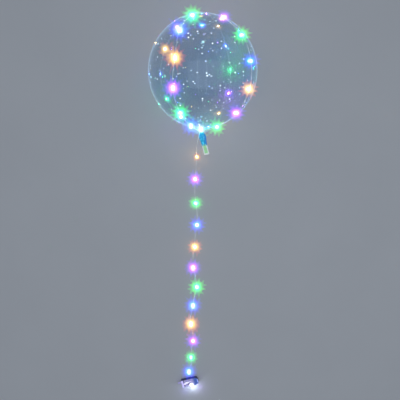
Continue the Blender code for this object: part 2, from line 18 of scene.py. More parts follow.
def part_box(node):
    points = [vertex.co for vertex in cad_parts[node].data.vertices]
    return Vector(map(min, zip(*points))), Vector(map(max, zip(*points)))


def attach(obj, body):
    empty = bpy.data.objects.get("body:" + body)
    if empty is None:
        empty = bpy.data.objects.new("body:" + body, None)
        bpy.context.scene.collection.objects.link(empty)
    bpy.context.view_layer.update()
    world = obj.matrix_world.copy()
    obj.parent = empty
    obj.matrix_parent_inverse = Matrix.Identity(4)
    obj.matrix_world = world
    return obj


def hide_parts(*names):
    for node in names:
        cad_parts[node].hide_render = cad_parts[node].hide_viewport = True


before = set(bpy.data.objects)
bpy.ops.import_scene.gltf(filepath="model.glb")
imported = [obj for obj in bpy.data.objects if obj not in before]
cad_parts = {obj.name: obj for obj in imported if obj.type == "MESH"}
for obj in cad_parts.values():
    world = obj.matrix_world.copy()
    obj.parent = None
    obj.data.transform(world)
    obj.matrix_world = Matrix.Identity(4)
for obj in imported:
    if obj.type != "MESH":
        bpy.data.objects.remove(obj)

LOG = logging.getLogger("balloon")
Colour = tuple[float, float, float]
Ring = list[Vector]
RoutePoint = tuple[float, float, float, bool]

# Lengths in metres: one millimetre, the gap between pieces that touch, and points that count as one
MILLIMETRE = 0.001
TOUCH_GAP = 0.0003
WELD_DISTANCE = 1e-6

# Whether a point of a route carries a light, and how many lights there are
LIT = True
BARE = False
BALLOON_LIGHTS = 28
TETHER_LIGHTS = 12


class Body(Enum):
    """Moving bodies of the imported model."""

    BALLOON = "balloon"
    SWITCH = "switch"


class Slot(Enum):
    """Material slots, listed beside the case's pieces but not read to give them their finish."""

    FILM = "film"
    SLEEVE = "sleeve"
    WIRE = "wire"
    LIGHT = "light"
    CASE = "case"
    SWITCH = "switch"
    LAMP = "lamp"


class Hue(Enum):
    """Colours of the lights, in their order along the string from the case."""

    BLUE = (0.07, 0.20, 1.0)
    GREEN = (0.02, 0.95, 0.20)
    VIOLET = (0.50, 0.10, 1.0)
    YELLOW = (1.0, 0.52, 0.10)

    @classmethod
    def of(cls, number: int) -> "Hue":
        """Colour of the light with a number, counted from 1."""
        return list(cls)[(number - 1) % len(cls)]


class Value:
    """One output of a shader node, for use in Python expressions."""

    def __init__(self, graph: "Graph", socket: bpy.types.NodeSocket) -> None:
        """Keep the socket and the graph that it belongs to."""
        self.graph = graph
        self.socket = socket

    def __add__(self, other: "Value | float") -> "Value":
        """Sum."""
        return self.graph.math("ADD", self, other)

    def __radd__(self, other: "Value | float") -> "Value":
        """Sum, the other way round."""
        return self.graph.math("ADD", other, self)

    def __sub__(self, other: "Value | float") -> "Value":
        """Difference."""
        return self.graph.math("SUBTRACT", self, other)

    def __rsub__(self, other: "Value | float") -> "Value":
        """Difference, the other way round."""
        return self.graph.math("SUBTRACT", other, self)

    def __mul__(self, other: "Value | float") -> "Value":
        """Product."""
        return self.graph.math("MULTIPLY", self, other)

    def __rmul__(self, other: "Value | float") -> "Value":
        """Product, the other way round."""
        return self.graph.math("MULTIPLY", other, self)

    def __truediv__(self, other: "Value | float") -> "Value":
        """Quotient."""
        return self.graph.math("DIVIDE", self, other)

    def __rtruediv__(self, other: "Value | float") -> "Value":
        """Quotient, the other way round."""
        return self.graph.math("DIVIDE", other, self)

    def __pow__(self, other: "Value | float") -> "Value":
        """Power."""
        return self.graph.math("POWER", self, other)

    def clamped(self) -> "Value":
        """The value kept between 0 and 1."""
        return self.graph.value("ShaderNodeClamp", inputs={"Value": self})

    def ramp(self, low: float, high: float) -> "Value":
        """Smooth step that is 0 at one value and 1 at another.

        Args:
            low: Value at which the step is 0.
            high: Value at which the step is 1.

        Returns:
            The step, between 0 and 1.
        """
        if low < high:
            return self.graph.value("ShaderNodeMapRange", {"interpolation_type": "SMOOTHSTEP"},
                                    {"Value": self, "From Min": low, "From Max": high})
        return 1.0 - self.ramp(high, low)


class Graph:
    """Node tree of one material."""

    def __init__(self, name: str) -> None:
        """Make an empty material with its output node.

        Args:
            name: Name of the material.
        """
        self.material = bpy.data.materials.new(name)
        self.material.use_nodes = True
        self.tree = self.material.node_tree
        self.tree.nodes.clear()
        self.output = self.tree.nodes.new("ShaderNodeOutputMaterial")

    def node(self, kind: str, settings: dict[str, object] | None = None,
             inputs: dict[str | int, object] | None = None) -> bpy.types.Node:
        """Add a node.

        Args:
            kind: Type of the node.
            settings: Its settings, set before anything else.
            inputs: Values or links of its sockets, by name or by place.

        Returns:
            The node.
        """
        made = self.tree.nodes.new(kind)
        for name, value in (settings or {}).items():
            setattr(made, name, value)
        for key, value in (inputs or {}).items():
            socket = made.inputs[key]
            if isinstance(value, Value):
                self.tree.links.new(value.socket, socket)
            elif socket.type == "RGBA" and len(value) == 3:
                socket.default_value = (*value, 1.0)
            else:
                socket.default_value = value
        return made

    def value(self, kind: str, settings: dict[str, object] | None = None,
              inputs: dict[str | int, object] | None = None, output: str | int = 0) -> Value:
        """Add a node and take one of its outputs."""
        return Value(self, self.node(kind, settings, inputs).outputs[output])

    def math(self, operation: str, *operands: Value | float) -> Value:
        """Add a Math node."""
        return self.value("ShaderNodeMath", {"operation": operation}, dict(enumerate(operands)))

    def vector(self, operation: str, *operands: object, output: str | int = 0) -> Value:
        """Add a Vector Math node."""
        return self.value("ShaderNodeVectorMath", {"operation": operation}, dict(enumerate(operands)), output)

    def mix(self, factor: Value | float, first: object, second: object, blend: str = "MIX") -> Value:
        """Mix two colours.

        Args:
            factor: Share of the second colour.
            first: Colour or link.
            second: Colour or link.
            blend: Way of mixing.

        Returns:
            The mixed colour.
        """
        return self.value("ShaderNodeMix", {"data_type": "RGBA", "blend_type": blend},
                          {0: factor, 6: first, 7: second}, 2)

    def place(self) -> Value:
        """Place on the piece, in metres in the shared frame."""
        return self.value("ShaderNodeTexCoord", output="Object")

    def distance(self, place: Value, point: Vector) -> Value:
        """Distance of a place from a point."""
        return self.vector("DISTANCE", place, tuple(point), output="Value")

    def reach(self, offset: Value, direction: Vector) -> Value:
        """How far an offset goes in a direction."""
        return self.vector("DOT_PRODUCT", offset, tuple(direction), output="Value")

    def facing(self) -> Value:
        """How far the surface turns away, 0 where it is seen square on and 1 at its outline."""
        return self.value("ShaderNodeLayerWeight", inputs={"Blend": 0.5}, output="Facing")

    def noise(self, scale: float, detail: float = 2.0, roughness: float = 0.5) -> Value:
        """Noise over the piece.

        Args:
            scale: Spots to the metre.
            detail: Octaves.
            roughness: Strength of the finer octaves.

        Returns:
            The noise, about 0.5 on average.
        """
        return self.value("ShaderNodeTexNoise", inputs={
            "Vector": self.place(), "Scale": scale, "Detail": detail, "Roughness": roughness})

    def bump(self, height: Value, distance: float) -> Value:
        """Normal bent by a height.

        Args:
            height: Height between 0 and 1.
            distance: Height in metres that 1 stands for.

        Returns:
            The bent normal.
        """
        return self.value("ShaderNodeBump", inputs={"Height": height, "Distance": distance})

    def principled(self, **inputs: object) -> Value:
        """Add a Principled shader, with its sockets named with underscores."""
        return self.value("ShaderNodeBsdfPrincipled",
                          inputs={name.replace("_", " "): value for name, value in inputs.items()})

    def see_through(self, factor: Value | float, tint: Colour, shader: Value) -> Value:
        """Lay a shader over a clear one.

        Args:
            factor: Share of the shader.
            tint: Colour of what is seen through.
            shader: The shader.

        Returns:
            The two mixed.
        """
        clear = self.value("ShaderNodeBsdfTransparent", inputs={"Color": tint})
        return self.value("ShaderNodeMixShader", inputs={0: factor, 1: clear, 2: shader})

    def done(self, shader: Value) -> bpy.types.Material:
        """Join a shader to the output and give the material."""
        self.tree.links.new(shader.socket, self.output.inputs["Surface"])
        return self.material


# Shapes


def add_object(name: str, mesh: bpy.types.Mesh, materials: Iterable[bpy.types.Material]) -> bpy.types.Object:
    """Put a mesh in the scene.

    Args:
        name: Name of the piece.
        mesh: Its mesh.
        materials: Its materials, in the order of their numbers on the faces.

    Returns:
        The object.
    """
    for material in materials:
        mesh.materials.append(material)
    made = bpy.data.objects.new(name, mesh)
    bpy.context.scene.collection.objects.link(made)
    return made


def finish_mesh(builder: bmesh.types.BMesh, name: str, sharp_degrees: float = 40.0) -> bpy.types.Mesh:
    """Turn a bmesh into a smooth mesh whose faces point out.

    Args:
        builder: The bmesh, which is freed.
        name: Name of the mesh.
        sharp_degrees: Edges bent by more stay sharp.

    Returns:
        The mesh.
    """
    bmesh.ops.recalc_face_normals(builder, faces=builder.faces[:])
    mesh = bpy.data.meshes.new(name)
    builder.to_mesh(mesh)
    builder.free()
    mesh.shade_smooth()
    mesh.set_sharp_from_angle(angle=math.radians(sharp_degrees))
    return mesh


def loft(builder: bmesh.types.BMesh, rings: Sequence[Ring], capped: bool = True, material: int = 0,
         mapped: bool = False) -> list[list[bmesh.types.BMVert]]:
    """Skin a row of rings.

    Args:
        builder: The bmesh to add to.
        rings: Rings of points, all of one length.
        capped: Whether the end rings are filled.
        material: Number of the faces' material.
        mapped: Whether the faces get a UV of the way round and the way along.

    Returns:
        The rings of vertices.
    """
    made = [[builder.verts.new(point) for point in ring] for ring in rings]
    count = len(rings[0])
    last = len(made) - 1
    layer = builder.loops.layers.uv.verify() if mapped else None
    for low in range(last):
        high = low + 1
        for side in range(count):
            after = (side + 1) % count
            face = builder.faces.new((made[low][side], made[low][after], made[high][after], made[high][side]))
            face.material_index = material
            if layer:
                corners = ((side, low), (side + 1, low), (side + 1, high), (side, high))
                for corner, (u, v) in zip(face.loops, corners):
                    corner[layer].uv = (u / count, v / last)
    if capped:
        for end in (made[0], made[-1]):
            builder.faces.new(end).material_index = material
    return made


def ring_xy(points: Iterable[tuple[float, float]], height: float) -> Ring:
    """Level ring at a height."""
    return [Vector((x, y, height)) for x, y in points]


def circle(radius: float, sides: int) -> list[tuple[float, float]]:
    """Points round a circle."""
    return [(radius * math.cos(math.tau * side / sides), radius * math.sin(math.tau * side / sides))
            for side in range(sides)]


def turned(builder: bmesh.types.BMesh, profile: Iterable[tuple[float, float]], sides: int,
           centre: tuple[float, float] = (0.0, 0.0)) -> None:
    """Turn a profile of radius and height about an upright axis.

    Args:
        builder: The bmesh to add to.
        profile: Pairs of radius and height.
        sides: Sides of the turned form.
        centre: Where the axis stands.
    """
    rings = []
    for radius, height in profile:
        rings.append([Vector((x + centre[0], y + centre[1], height)) for x, y in circle(radius, sides)])
    loft(builder, rings)


def fillet(radius: float, steps: int) -> list[tuple[float, float]]:
    """Steps of a rounded edge.

    Args:
        radius: Radius of the edge.
        steps: Steps from the side to the top face.

    Returns:
        How far each step is set in, and how far it is down from the top.
    """
    made = []
    for step in range(steps + 1):
        angle = math.pi / 2 * step / steps
        made.append((radius * (1.0 - math.cos(angle)), radius * (1.0 - math.sin(angle))))
    return made


def block_in(builder: bmesh.types.BMesh, low: Sequence[float], high: Sequence[float],
             edge: float = 0.0) -> None:
    """Add a block with cut edges to a bmesh.

    Args:
        builder: The bmesh to add to.
        low: Lowest corner.
        high: Highest corner.
        edge: How far its edges are cut back.
    """
    def corners(inset: float, height: float) -> Ring:
        """Ring of the block's corners.

        Args:
            inset: How far the ring is set in.
            height: Its height.

        Returns:
            The ring.
        """
        x0, y0, x1, y1 = low[0] + inset, low[1] + inset, high[0] - inset, high[1] - inset
        if edge:
            points = ((x0 + edge, y0), (x1 - edge, y0), (x1, y0 + edge), (x1, y1 - edge), (x1 - edge, y1),
                      (x0 + edge, y1), (x0, y1 - edge), (x0, y0 + edge))
        else:
            points = ((x0, y0), (x1, y0), (x1, y1), (x0, y1))
        return ring_xy(points, height)

    if edge:
        rings = [corners(edge, low[2]), corners(0.0, low[2] + edge), corners(0.0, high[2] - edge),
                 corners(edge, high[2])]
    else:
        rings = [corners(0.0, low[2]), corners(0.0, high[2])]
    loft(builder, rings)


def boolean(target: bpy.types.Object, other: bmesh.types.BMesh, operation: str) -> None:
    """Join or cut an object with a bmesh, and keep the result in its mesh.

    Args:
        target: The object.
        other: What joins or cuts it, which is freed.
        operation: UNION or DIFFERENCE.
    """
    sharp_degrees = 32.0
    bmesh.ops.recalc_face_normals(other, faces=other.faces[:])
    mesh = bpy.data.meshes.new("tool")
    other.to_mesh(mesh)
    other.free()
    tool = add_object("tool", mesh, ())
    modifier = target.modifiers.new("shape", "BOOLEAN")
    modifier.operation = operation
    modifier.solver = "EXACT"
    modifier.object = tool
    bpy.context.view_layer.update()
    result = bpy.data.meshes.new_from_object(target.evaluated_get(bpy.context.evaluated_depsgraph_get()))
    target.modifiers.clear()
    target.data = result
    bpy.data.objects.remove(tool, do_unlink=True)
    result.shade_smooth()
    result.set_sharp_from_angle(angle=math.radians(sharp_degrees))


def node_centre(node: str) -> Vector:
    """Middle of a solid's box."""
    low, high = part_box(node)
    return (Vector(low) + Vector(high)) / 2


def settle(piece: bpy.types.Object, body: Body, node: str) -> None:
    """Let a piece ride on a body in the place of its solid, and report it.

    Args:
        piece: The piece.
        body: Body that it moves with.
        node: Solid that it stands for.
    """
    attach(piece, body.value)
    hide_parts(node)
    LOG.info("%s for %s", piece.name, node)


def smooth_path(points: Sequence[Vector], step: float = 0.002) -> tuple[list[Vector], list[int]]:
    """Dense points on a smooth curve through a route.

    Args:
        points: Points of the route.
        step: Distance between the dense points.

    Returns:
        The dense points, and the place in them of each point of the route.
    """
    spans = [(b - a).length for a, b in zip(points, points[1:])]
    slopes = [(points[1] - points[0]) / spans[0]]
    for index in range(1, len(points) - 1):
        before = (points[index] - points[index - 1]) / spans[index - 1]
        after = (points[index + 1] - points[index]) / spans[index]
        slopes.append((before * spans[index] + after * spans[index - 1]) / (spans[index - 1] + spans[index]))
    slopes.append((points[-1] - points[-2]) / spans[-1])
    path: list[Vector] = []
    knots: list[int] = []
    for index, span in enumerate(spans):
        knots.append(len(path))
        count = max(2, round(span / step))
        for part in range(count):
            t = part / count
            path.append(points[index] * (2 * t ** 3 - 3 * t ** 2 + 1)
                        + slopes[index] * span * (t ** 3 - 2 * t ** 2 + t)
                        + points[index + 1] * (3 * t ** 2 - 2 * t ** 3)
                        + slopes[index + 1] * span * (t ** 3 - t ** 2))
    knots.append(len(path))
    path.append(points[-1].copy())
    return path, knots


class Run:
    """A smooth run of wire, with lights at some of its route's points."""

    def __init__(self, points: Sequence[Vector], lit: Sequence[bool] = ()) -> None:
        """Smooth a route and measure it.

        Args:
            points: Points of the route.
            lit: Whether each of them carries a light.
        """
        self.path, knots = smooth_path(points)
        self.along = [0.0]
        for a, b in zip(self.path, self.path[1:]):
            self.along.append(self.along[-1] + (b - a).length)
        self.length = self.along[-1]
        self.lights = [self.along[knot] for knot, light in zip(knots, lit) if light]

    def at(self, distance: float) -> Vector:
        """Point at a length along the run.

        Args:
            distance: The length from the run's start.

        Returns:
            The point.
        """
        distance = min(max(distance, 0.0), self.length)
        low, high = 0, len(self.along) - 1
        while high - low > 1:
            middle = (low + high) // 2
            if self.along[middle] <= distance:
                low = middle
            else:
                high = middle
        share = (distance - self.along[low]) / (self.along[high] - self.along[low])
        return self.path[low].lerp(self.path[high], share)

    def heading(self, distance: float, reach: float = 0.006) -> Vector:
        """Direction of the run at a length along it."""
        return (self.at(distance + reach) - self.at(distance - reach)).normalized()

    def spaced(self, step: float) -> list[Vector]:
        """Points set evenly along the run."""
        count = round(self.length / step)
        return [self.at(self.length * index / count) for index in range(count + 1)]


@dataclass(frozen=True)
class BalloonShape:
    """Sizes of the balloon's film, and points on it in the balloon's own axes."""

    radius: float = 0.195
    flat_radius: float = 0.036
    tilt: float = math.radians(8.0)
    gather_start: float = math.radians(160.0)
    gather_rise: float = 0.012
    gather_shift: float = -0.005
    neck_radius: float = 0.005
    neck_length: float = 0.006
    tail_lean: float = math.radians(13.0)
    droop_start: float = math.radians(2.0)
    droop_end: float = math.radians(20.0)
    tail_length: float = 0.056
    sleeve_length: float = 0.040

    @property
    def pose(self) -> Matrix:
        """Where the balloon's own axes sit in the shared frame."""
        height = math.sqrt(self.radius ** 2 - self.flat_radius ** 2)
        return Matrix.Translation((0.0, 0.0, height)) @ Matrix.Rotation(self.tilt - math.pi / 2, 4, "X")

    def film_radius(self, polar: float) -> float:
        """Distance of the film from the centre.

        Args:
            polar: Angle from the crown.

        Returns:
            The distance.
        """
        if polar <= self.gather_start:
            return self.radius
        share = (polar - self.gather_start) / (math.pi - self.gather_start)
        return self.radius + self.gather_rise * share ** 2

    def shift(self, polar: float) -> float:
        """How far the gathered film is pulled to one side.

        Args:
            polar: Angle from the crown.

        Returns:
            The shift along X.
        """
        if polar <= self.gather_start:
            return 0.0
        share = (polar - self.gather_start) / (math.pi - self.gather_start)
        return self.gather_shift * share ** 2

    def around(self, polar: float, azimuth: float, distance: float) -> Vector:
        """Point round the centre, pulled aside with the gather.

        Args:
            polar: Angle from the crown.
            azimuth: Angle round from the upper side.
            distance: Distance from the centre.

        Returns:
            The point, in the balloon's own axes.
        """
        ring = distance * math.sin(polar)
        return Vector((self.shift(polar) + ring * math.sin(azimuth), -ring * math.cos(azimuth),
                       distance * math.cos(polar)))

    def on_film(self, polar_degrees: float, azimuth_degrees: float) -> Vector:
        """Point on the film, in the shared frame.

        Args:
            polar_degrees: Angle from the crown.
            azimuth_degrees: Angle round from the upper side.

        Returns:
            The point.
        """
        polar = math.radians(polar_degrees)
        return self.pose @ self.around(polar, math.radians(azimuth_degrees), self.film_radius(polar))

    @property
    def neck_polar(self) -> float:
        """Angle from the crown at which the gathered film meets the tied neck."""
        return math.pi - math.asin(self.neck_radius / (self.radius + self.gather_rise))

    @property
    def neck_top(self) -> float:
        """Height on the balloon's axis at which the tied neck starts."""
        return self.film_radius(self.neck_polar) * math.cos(self.neck_polar)

    def neck_place(self, height: float) -> Vector:
        """Middle of the tied neck at a height on the balloon's axis."""
        return Vector((self.shift(self.neck_polar), 0.0, height))

    def tail_frame(self, distance: float) -> tuple[Vector, Vector, Vector]:
        """Frame of the tail at a distance from the tied neck.

        Args:
            distance: The distance along the tail.

        Returns:
            The tail's centre there, and its directions across and to the front.
        """
        steps = 24
        centre = self.neck_place(self.neck_top - self.neck_length)
        reach = self.tail_length + TOUCH_GAP + self.sleeve_length
        along = Vector((0.0, 0.0, -1.0))
        for step in range(steps + 1):
            droop = self.droop_start + (self.droop_end - self.droop_start) * distance * step / steps / reach
            along = Vector((math.sin(self.tail_lean), math.cos(self.tail_lean) * math.sin(droop),
                            -math.cos(self.tail_lean) * math.cos(droop)))
            if step:
                centre = centre + along * (distance / steps)
        across = (Vector((1.0, 0.0, 0.0)) - along * along.x).normalized()
        return centre, across, along.cross(across)


# Finishes


@dataclass(frozen=True)
class Glow:
    """Painted glow of light caught by the film round a point, and how far it hides what lies behind."""

    centre: Vector
    colour: Colour
    reach: float
    strength: float
    cover: float = 0.0
    falloff: float = 2.2

    def add_to(self, graph: Graph, place: Value, light: Value | Colour) -> tuple[Value, Value]:
        """Add the glow to the light gathered so far.

        Args:
            graph: Material that it belongs to.
            place: Place on the piece.
            light: Light gathered so far.

        Returns:
            The light with the glow, and the strength of the glow over the film.
        """
        near = graph.distance(place, self.centre).ramp(self.reach, 0.0) ** self.falloff * self.strength
        return graph.mix(near, light, self.colour, "ADD"), near


@dataclass(frozen=True)
class FilmFinish:
    """Clear glossy film with painted light: a painted sheen at its rim, painted glows in the colours of the
    lights and painted reflections.
    """

    glows: tuple[Glow, ...]
    neck: Vector
    tint: Colour = (0.77, 0.845, 0.90)
    body: Colour = (0.80, 0.90, 0.97)
    least_share: float = 0.02
    base_share: float = 0.055
    rim_share: float = 0.70
    rim_power: float = 5.5
    rim_light: Colour = (0.17, 0.23, 0.29)
    glow_light: float = 0.75
    crease_scale: float = 260.0
    crease_reach: tuple[float, float] = (0.055, 0.012)
    crease_height: float = 0.05
    streak_scale: float = 7.0
    wave_scale: float = 14.0
    wave_height: float = 0.7
    relief: float = 0.0016
    dot_cells: float = 68.0
    dot_size: float = 0.19
    dot_edge: float = 0.6
    dot_chance: tuple[float, float] = (0.48, 0.92)
    dot_cover: float = 0.5
    dot_light: Colour = (1.1, 1.3, 1.4)

    def build(self) -> bpy.types.Material:
        """Make the material. Its light is given as seen, so it is divided by the share that shows it.

        Returns:
            The material.
        """
        graph = Graph("clear_film")
        place = graph.place()
        light: Value | Colour = (0.0, 0.0, 0.0)
        cover: Value | float = 0.0
        for glow in self.glows:
            light, near = glow.add_to(graph, place, light)
            if glow.cover:
                cover = near * glow.cover + cover
        creases = graph.noise(self.crease_scale, 3.0, 0.6)
        dots = self.reflections(graph, place)
        rim = graph.facing() ** self.rim_power
        streaks = graph.noise(self.streak_scale, 3.0, 0.6)
        share = (rim * self.rim_share + self.base_share * (0.5 + streaks) + cover
                 + dots * self.dot_cover + self.least_share).clamped()
        # Painted light: the glows, the painted reflections and the painted rim sheen go out as emission
        light = self.scaled(graph, light, (creases * 0.8 + 0.6) * self.glow_light)
        light = graph.mix(dots, light, self.dot_light, "ADD")
        light = graph.mix(rim, light, self.rim_light, "ADD")
        gathered = graph.distance(place, self.neck).ramp(*self.crease_reach)
        height = (graph.noise(self.wave_scale, 2.0, 0.4) * self.wave_height
                  + creases * gathered * self.crease_height)
        skin = graph.principled(
            Base_Color=self.body, Metallic=0.85, Roughness=0.05,
            Emission_Color=self.scaled(graph, light, 1.0 / share), Emission_Strength=1.0,
            Normal=graph.bump(height, self.relief))
        return graph.done(graph.see_through(share, self.tint, skin))

    @staticmethod
    def scaled(graph: Graph, colour: Value, factor: Value) -> Value:
        """Colour multiplied by a number."""
        return graph.value("ShaderNodeVectorMath", {"operation": "SCALE"}, {0: colour, "Scale": factor})

    def reflections(self, graph: Graph, place: Value) -> Value:
        """Painted small round reflections of the lights, scattered over the film.

        Args:
            graph: Material that they belong to.
            place: Place on the piece.

        Returns:
            How bright a reflection is at the place, between 0 and 1.
        """
        cells = graph.node("ShaderNodeTexVoronoi", {"feature": "F1"},
                           {"Vector": place, "Scale": self.dot_cells})
        away = Value(graph, cells.outputs["Distance"])
        chance = graph.value("ShaderNodeSeparateXYZ", inputs={0: Value(graph, cells.outputs["Color"])})
        return away.ramp(self.dot_size, self.dot_size * self.dot_edge) * chance.ramp(*self.dot_chance)


@dataclass(frozen=True)
class TailFinish:
    """Crinkled end of the film with painted light from the neck: a painted cyan glow on one side, a deeper
    blue one on the other, and painted highlights on the crinkles.

    Bands across the tail are in metres from its middle, bands down it in shares of its length.
    """

    neck: Vector
    across: Vector
    along: Vector
    length: float
    crinkle_scale: float = 150.0
    crinkle_band: tuple[float, float] = (0.52, 0.66)
    patch_scale: float = 95.0
    cyan_band: tuple[float, float] = (0.013, 0.0)
    deep_band: tuple[float, float] = (-0.006, 0.011)
    neck_band: tuple[float, float] = (0.16, 0.03)
    dense_band: tuple[float, float] = (0.3, 0.0)
    cyan_glow: Colour = (0.0, 0.24, 0.46)
    deep_blue_glow: Colour = (0.01, 0.05, 0.36)
    crinkle_light: Colour = (0.16, 0.85, 1.0)
    neck_light: Colour = (0.75, 1.0, 1.0)
    relief: float = 0.0011

    def build(self) -> bpy.types.Material:
        """Make the material.

        Returns:
            The material.
        """
        graph = Graph("crinkled_film")
        offset = graph.vector("SUBTRACT", graph.place(), tuple(self.neck))
        down = graph.reach(offset, self.along / self.length)
        side = graph.reach(offset, self.across)
        crinkle = graph.noise(self.crinkle_scale, 4.0, 0.65)
        patch = graph.noise(self.patch_scale, 2.0, 0.5)
        # Painted light: highlights on the crinkles, a cyan to deep blue glow, and a pale glow by the neck,
        # all as emission
        bright = crinkle.ramp(*self.crinkle_band) * side.ramp(*self.cyan_band)
        deep = (side.ramp(*self.deep_band) + patch * 0.5 - 0.25).clamped()
        lit = graph.mix(bright * 0.9, graph.mix(deep, self.cyan_glow, self.deep_blue_glow), self.crinkle_light)
        lit = graph.mix(down.ramp(*self.neck_band), lit, self.neck_light)
        skin = graph.principled(
            Base_Color=(0.05, 0.30, 0.45), Metallic=0.3, Roughness=crinkle * 0.25 + 0.08,
            Emission_Color=lit, Emission_Strength=0.9, Normal=graph.bump(crinkle, self.relief))
        share = (0.78 + bright * 0.22 + down.ramp(*self.dense_band) * 0.2).clamped()
        return graph.done(graph.see_through(share, (0.60, 0.80, 0.92), skin))


@dataclass(frozen=True)
class SleeveFinish:
    """Milky filling sleeve with paler welded edges, which gives off painted light in its own colours: bands
    round its side, and down its length in shares.
    """

    cloud_scale: float = 130.0
    side_weld: tuple[float, float] = (0.45, 0.80)
    end_weld: tuple[float, float] = (0.84, 0.92)
    milk: Colour = (0.34, 0.68, 0.34)
    pale_milk: Colour = (0.52, 0.80, 0.52)
    weld: Colour = (0.92, 1.0, 0.96)
    glow: float = 0.34
    wave_scale: float = 60.0
    relief: float = 0.0009

    def build(self) -> bpy.types.Material:
        """Make the material.

        Returns:
            The material.
        """
        graph = Graph("milky_sleeve")
        uv = graph.node("ShaderNodeSeparateXYZ", inputs={0: graph.value("ShaderNodeTexCoord", output="UV")})
        across = Value(graph, uv.outputs["X"])
        along = Value(graph, uv.outputs["Y"])
        side = graph.math("ABSOLUTE", graph.math("SINE", across * math.tau))
        edge = graph.math("MAXIMUM", side.ramp(*self.side_weld), along.ramp(*self.end_weld))
        cloud = graph.noise(self.cloud_scale, 3.0, 0.55)
        colour = graph.mix(edge, graph.mix(cloud, self.milk, self.pale_milk), self.weld)
        # Painted glow: the sleeve gives off its own colours, so the pale welds glow brightest
        skin = graph.principled(
            Base_Color=colour, Roughness=cloud * 0.2 + 0.28, Coat_Weight=0.3, Coat_Roughness=0.2,
            Emission_Color=colour, Emission_Strength=self.glow,
            Normal=graph.bump(graph.noise(self.wave_scale, 3.0), self.relief))
        share = (0.80 + edge * 0.2 + cloud * 0.1).clamped()
        return graph.done(graph.see_through(share, (0.80, 0.93, 0.84), skin))


@dataclass(frozen=True)
class WireFinish:
    """Fine enamelled wire with painted light: a faint painted glow, painted glints, and a brighter painted
    glow by the neck.
    """

    neck: Vector
    wear_scale: float = 240.0
    dull: Colour = (0.50, 0.47, 0.46)
    worn: Colour = (0.78, 0.74, 0.70)
    glint_scale: float = 60.0
    glint_band: tuple[float, float] = (0.42, 0.70)
    faint_light: Colour = (0.34, 0.38, 0.44)
    glint_light: Colour = (1.10, 1.20, 1.30)
    neck_reach: tuple[float, float] = (0.095, 0.015)
    neck_light: Colour = (0.9, 1.7, 1.9)

    def build(self) -> bpy.types.Material:
        """Make the material.

        Returns:
            The material.
        """
        graph = Graph("wire_enamel")
        wear = graph.noise(self.wear_scale, 2.0)
        colour = graph.mix(wear, self.dull, self.worn)
        # Painted light: a faint glow with painted glints, brighter by the neck
        near = graph.distance(graph.place(), self.neck).ramp(*self.neck_reach)
        glint = graph.noise(self.glint_scale, 2.0, 0.6).ramp(*self.glint_band)
        light = graph.mix(glint, self.faint_light, self.glint_light)
        light = graph.mix(near * near, light, self.neck_light)
        return graph.done(graph.principled(
            Base_Color=colour, Metallic=0.85, Roughness=wear * 0.25 + 0.22, Coat_Weight=0.6,
            Coat_Roughness=0.15, Emission_Color=light, Emission_Strength=1.0))


@dataclass(frozen=True)
class ResinFinish:
    """Clear resin drop, full of the light of its chip."""

    hue: Hue
    power: float = 3.0
    swirl_scale: float = 900.0
    share: float = 0.40
    tint: Colour = (0.95, 0.97, 0.98)

    def build(self) -> bpy.types.Material:
        """Make the material.

        Returns:
            The material.
        """
        graph = Graph(f"resin_{self.hue.name.lower()}")
        swirl = graph.noise(self.swirl_scale, 2.0)
        heart = (1.0 - graph.facing()) * 0.55 + swirl * 0.25 + 0.3
        light = graph.mix(heart.clamped(), (0.0, 0.0, 0.0), self.hue.value)
        skin = graph.principled(
            Base_Color=tuple(0.55 + 0.4 * part for part in self.hue.value), Roughness=0.08, Coat_Weight=1.0,
            Emission_Color=light, Emission_Strength=self.power)
        return graph.done(graph.see_through(self.share, self.tint, skin))


@dataclass(frozen=True)
class ChipFinish:
    """White-hot chip in a resin drop."""

    hue: Hue
    power: float = 110.0
    spot_scale: float = 2500.0
    paleness: float = 0.12
    phosphor: Colour = (0.8, 0.8, 0.6)

    def build(self) -> bpy.types.Material:
        """Make the material.

        Returns:
            The material.
        """
        graph = Graph(f"chip_{self.hue.name.lower()}")
        spot = graph.noise(self.spot_scale, 1.0)
        pale = tuple(self.paleness + (1.0 - self.paleness) * part for part in self.hue.value)
        light = graph.mix(spot * 0.5 + 0.5, self.hue.value, pale)
        return graph.done(graph.principled(
            Base_Color=self.phosphor, Roughness=0.5, Emission_Color=light, Emission_Strength=self.power))


@dataclass(frozen=True)
class PaintedLight:
    """Patch of painted light on a case, a glow or a highlight, given in the case's own axes."""

    place: tuple[float, float]
    size: tuple[float, float]
    colour: Colour
    strength: float


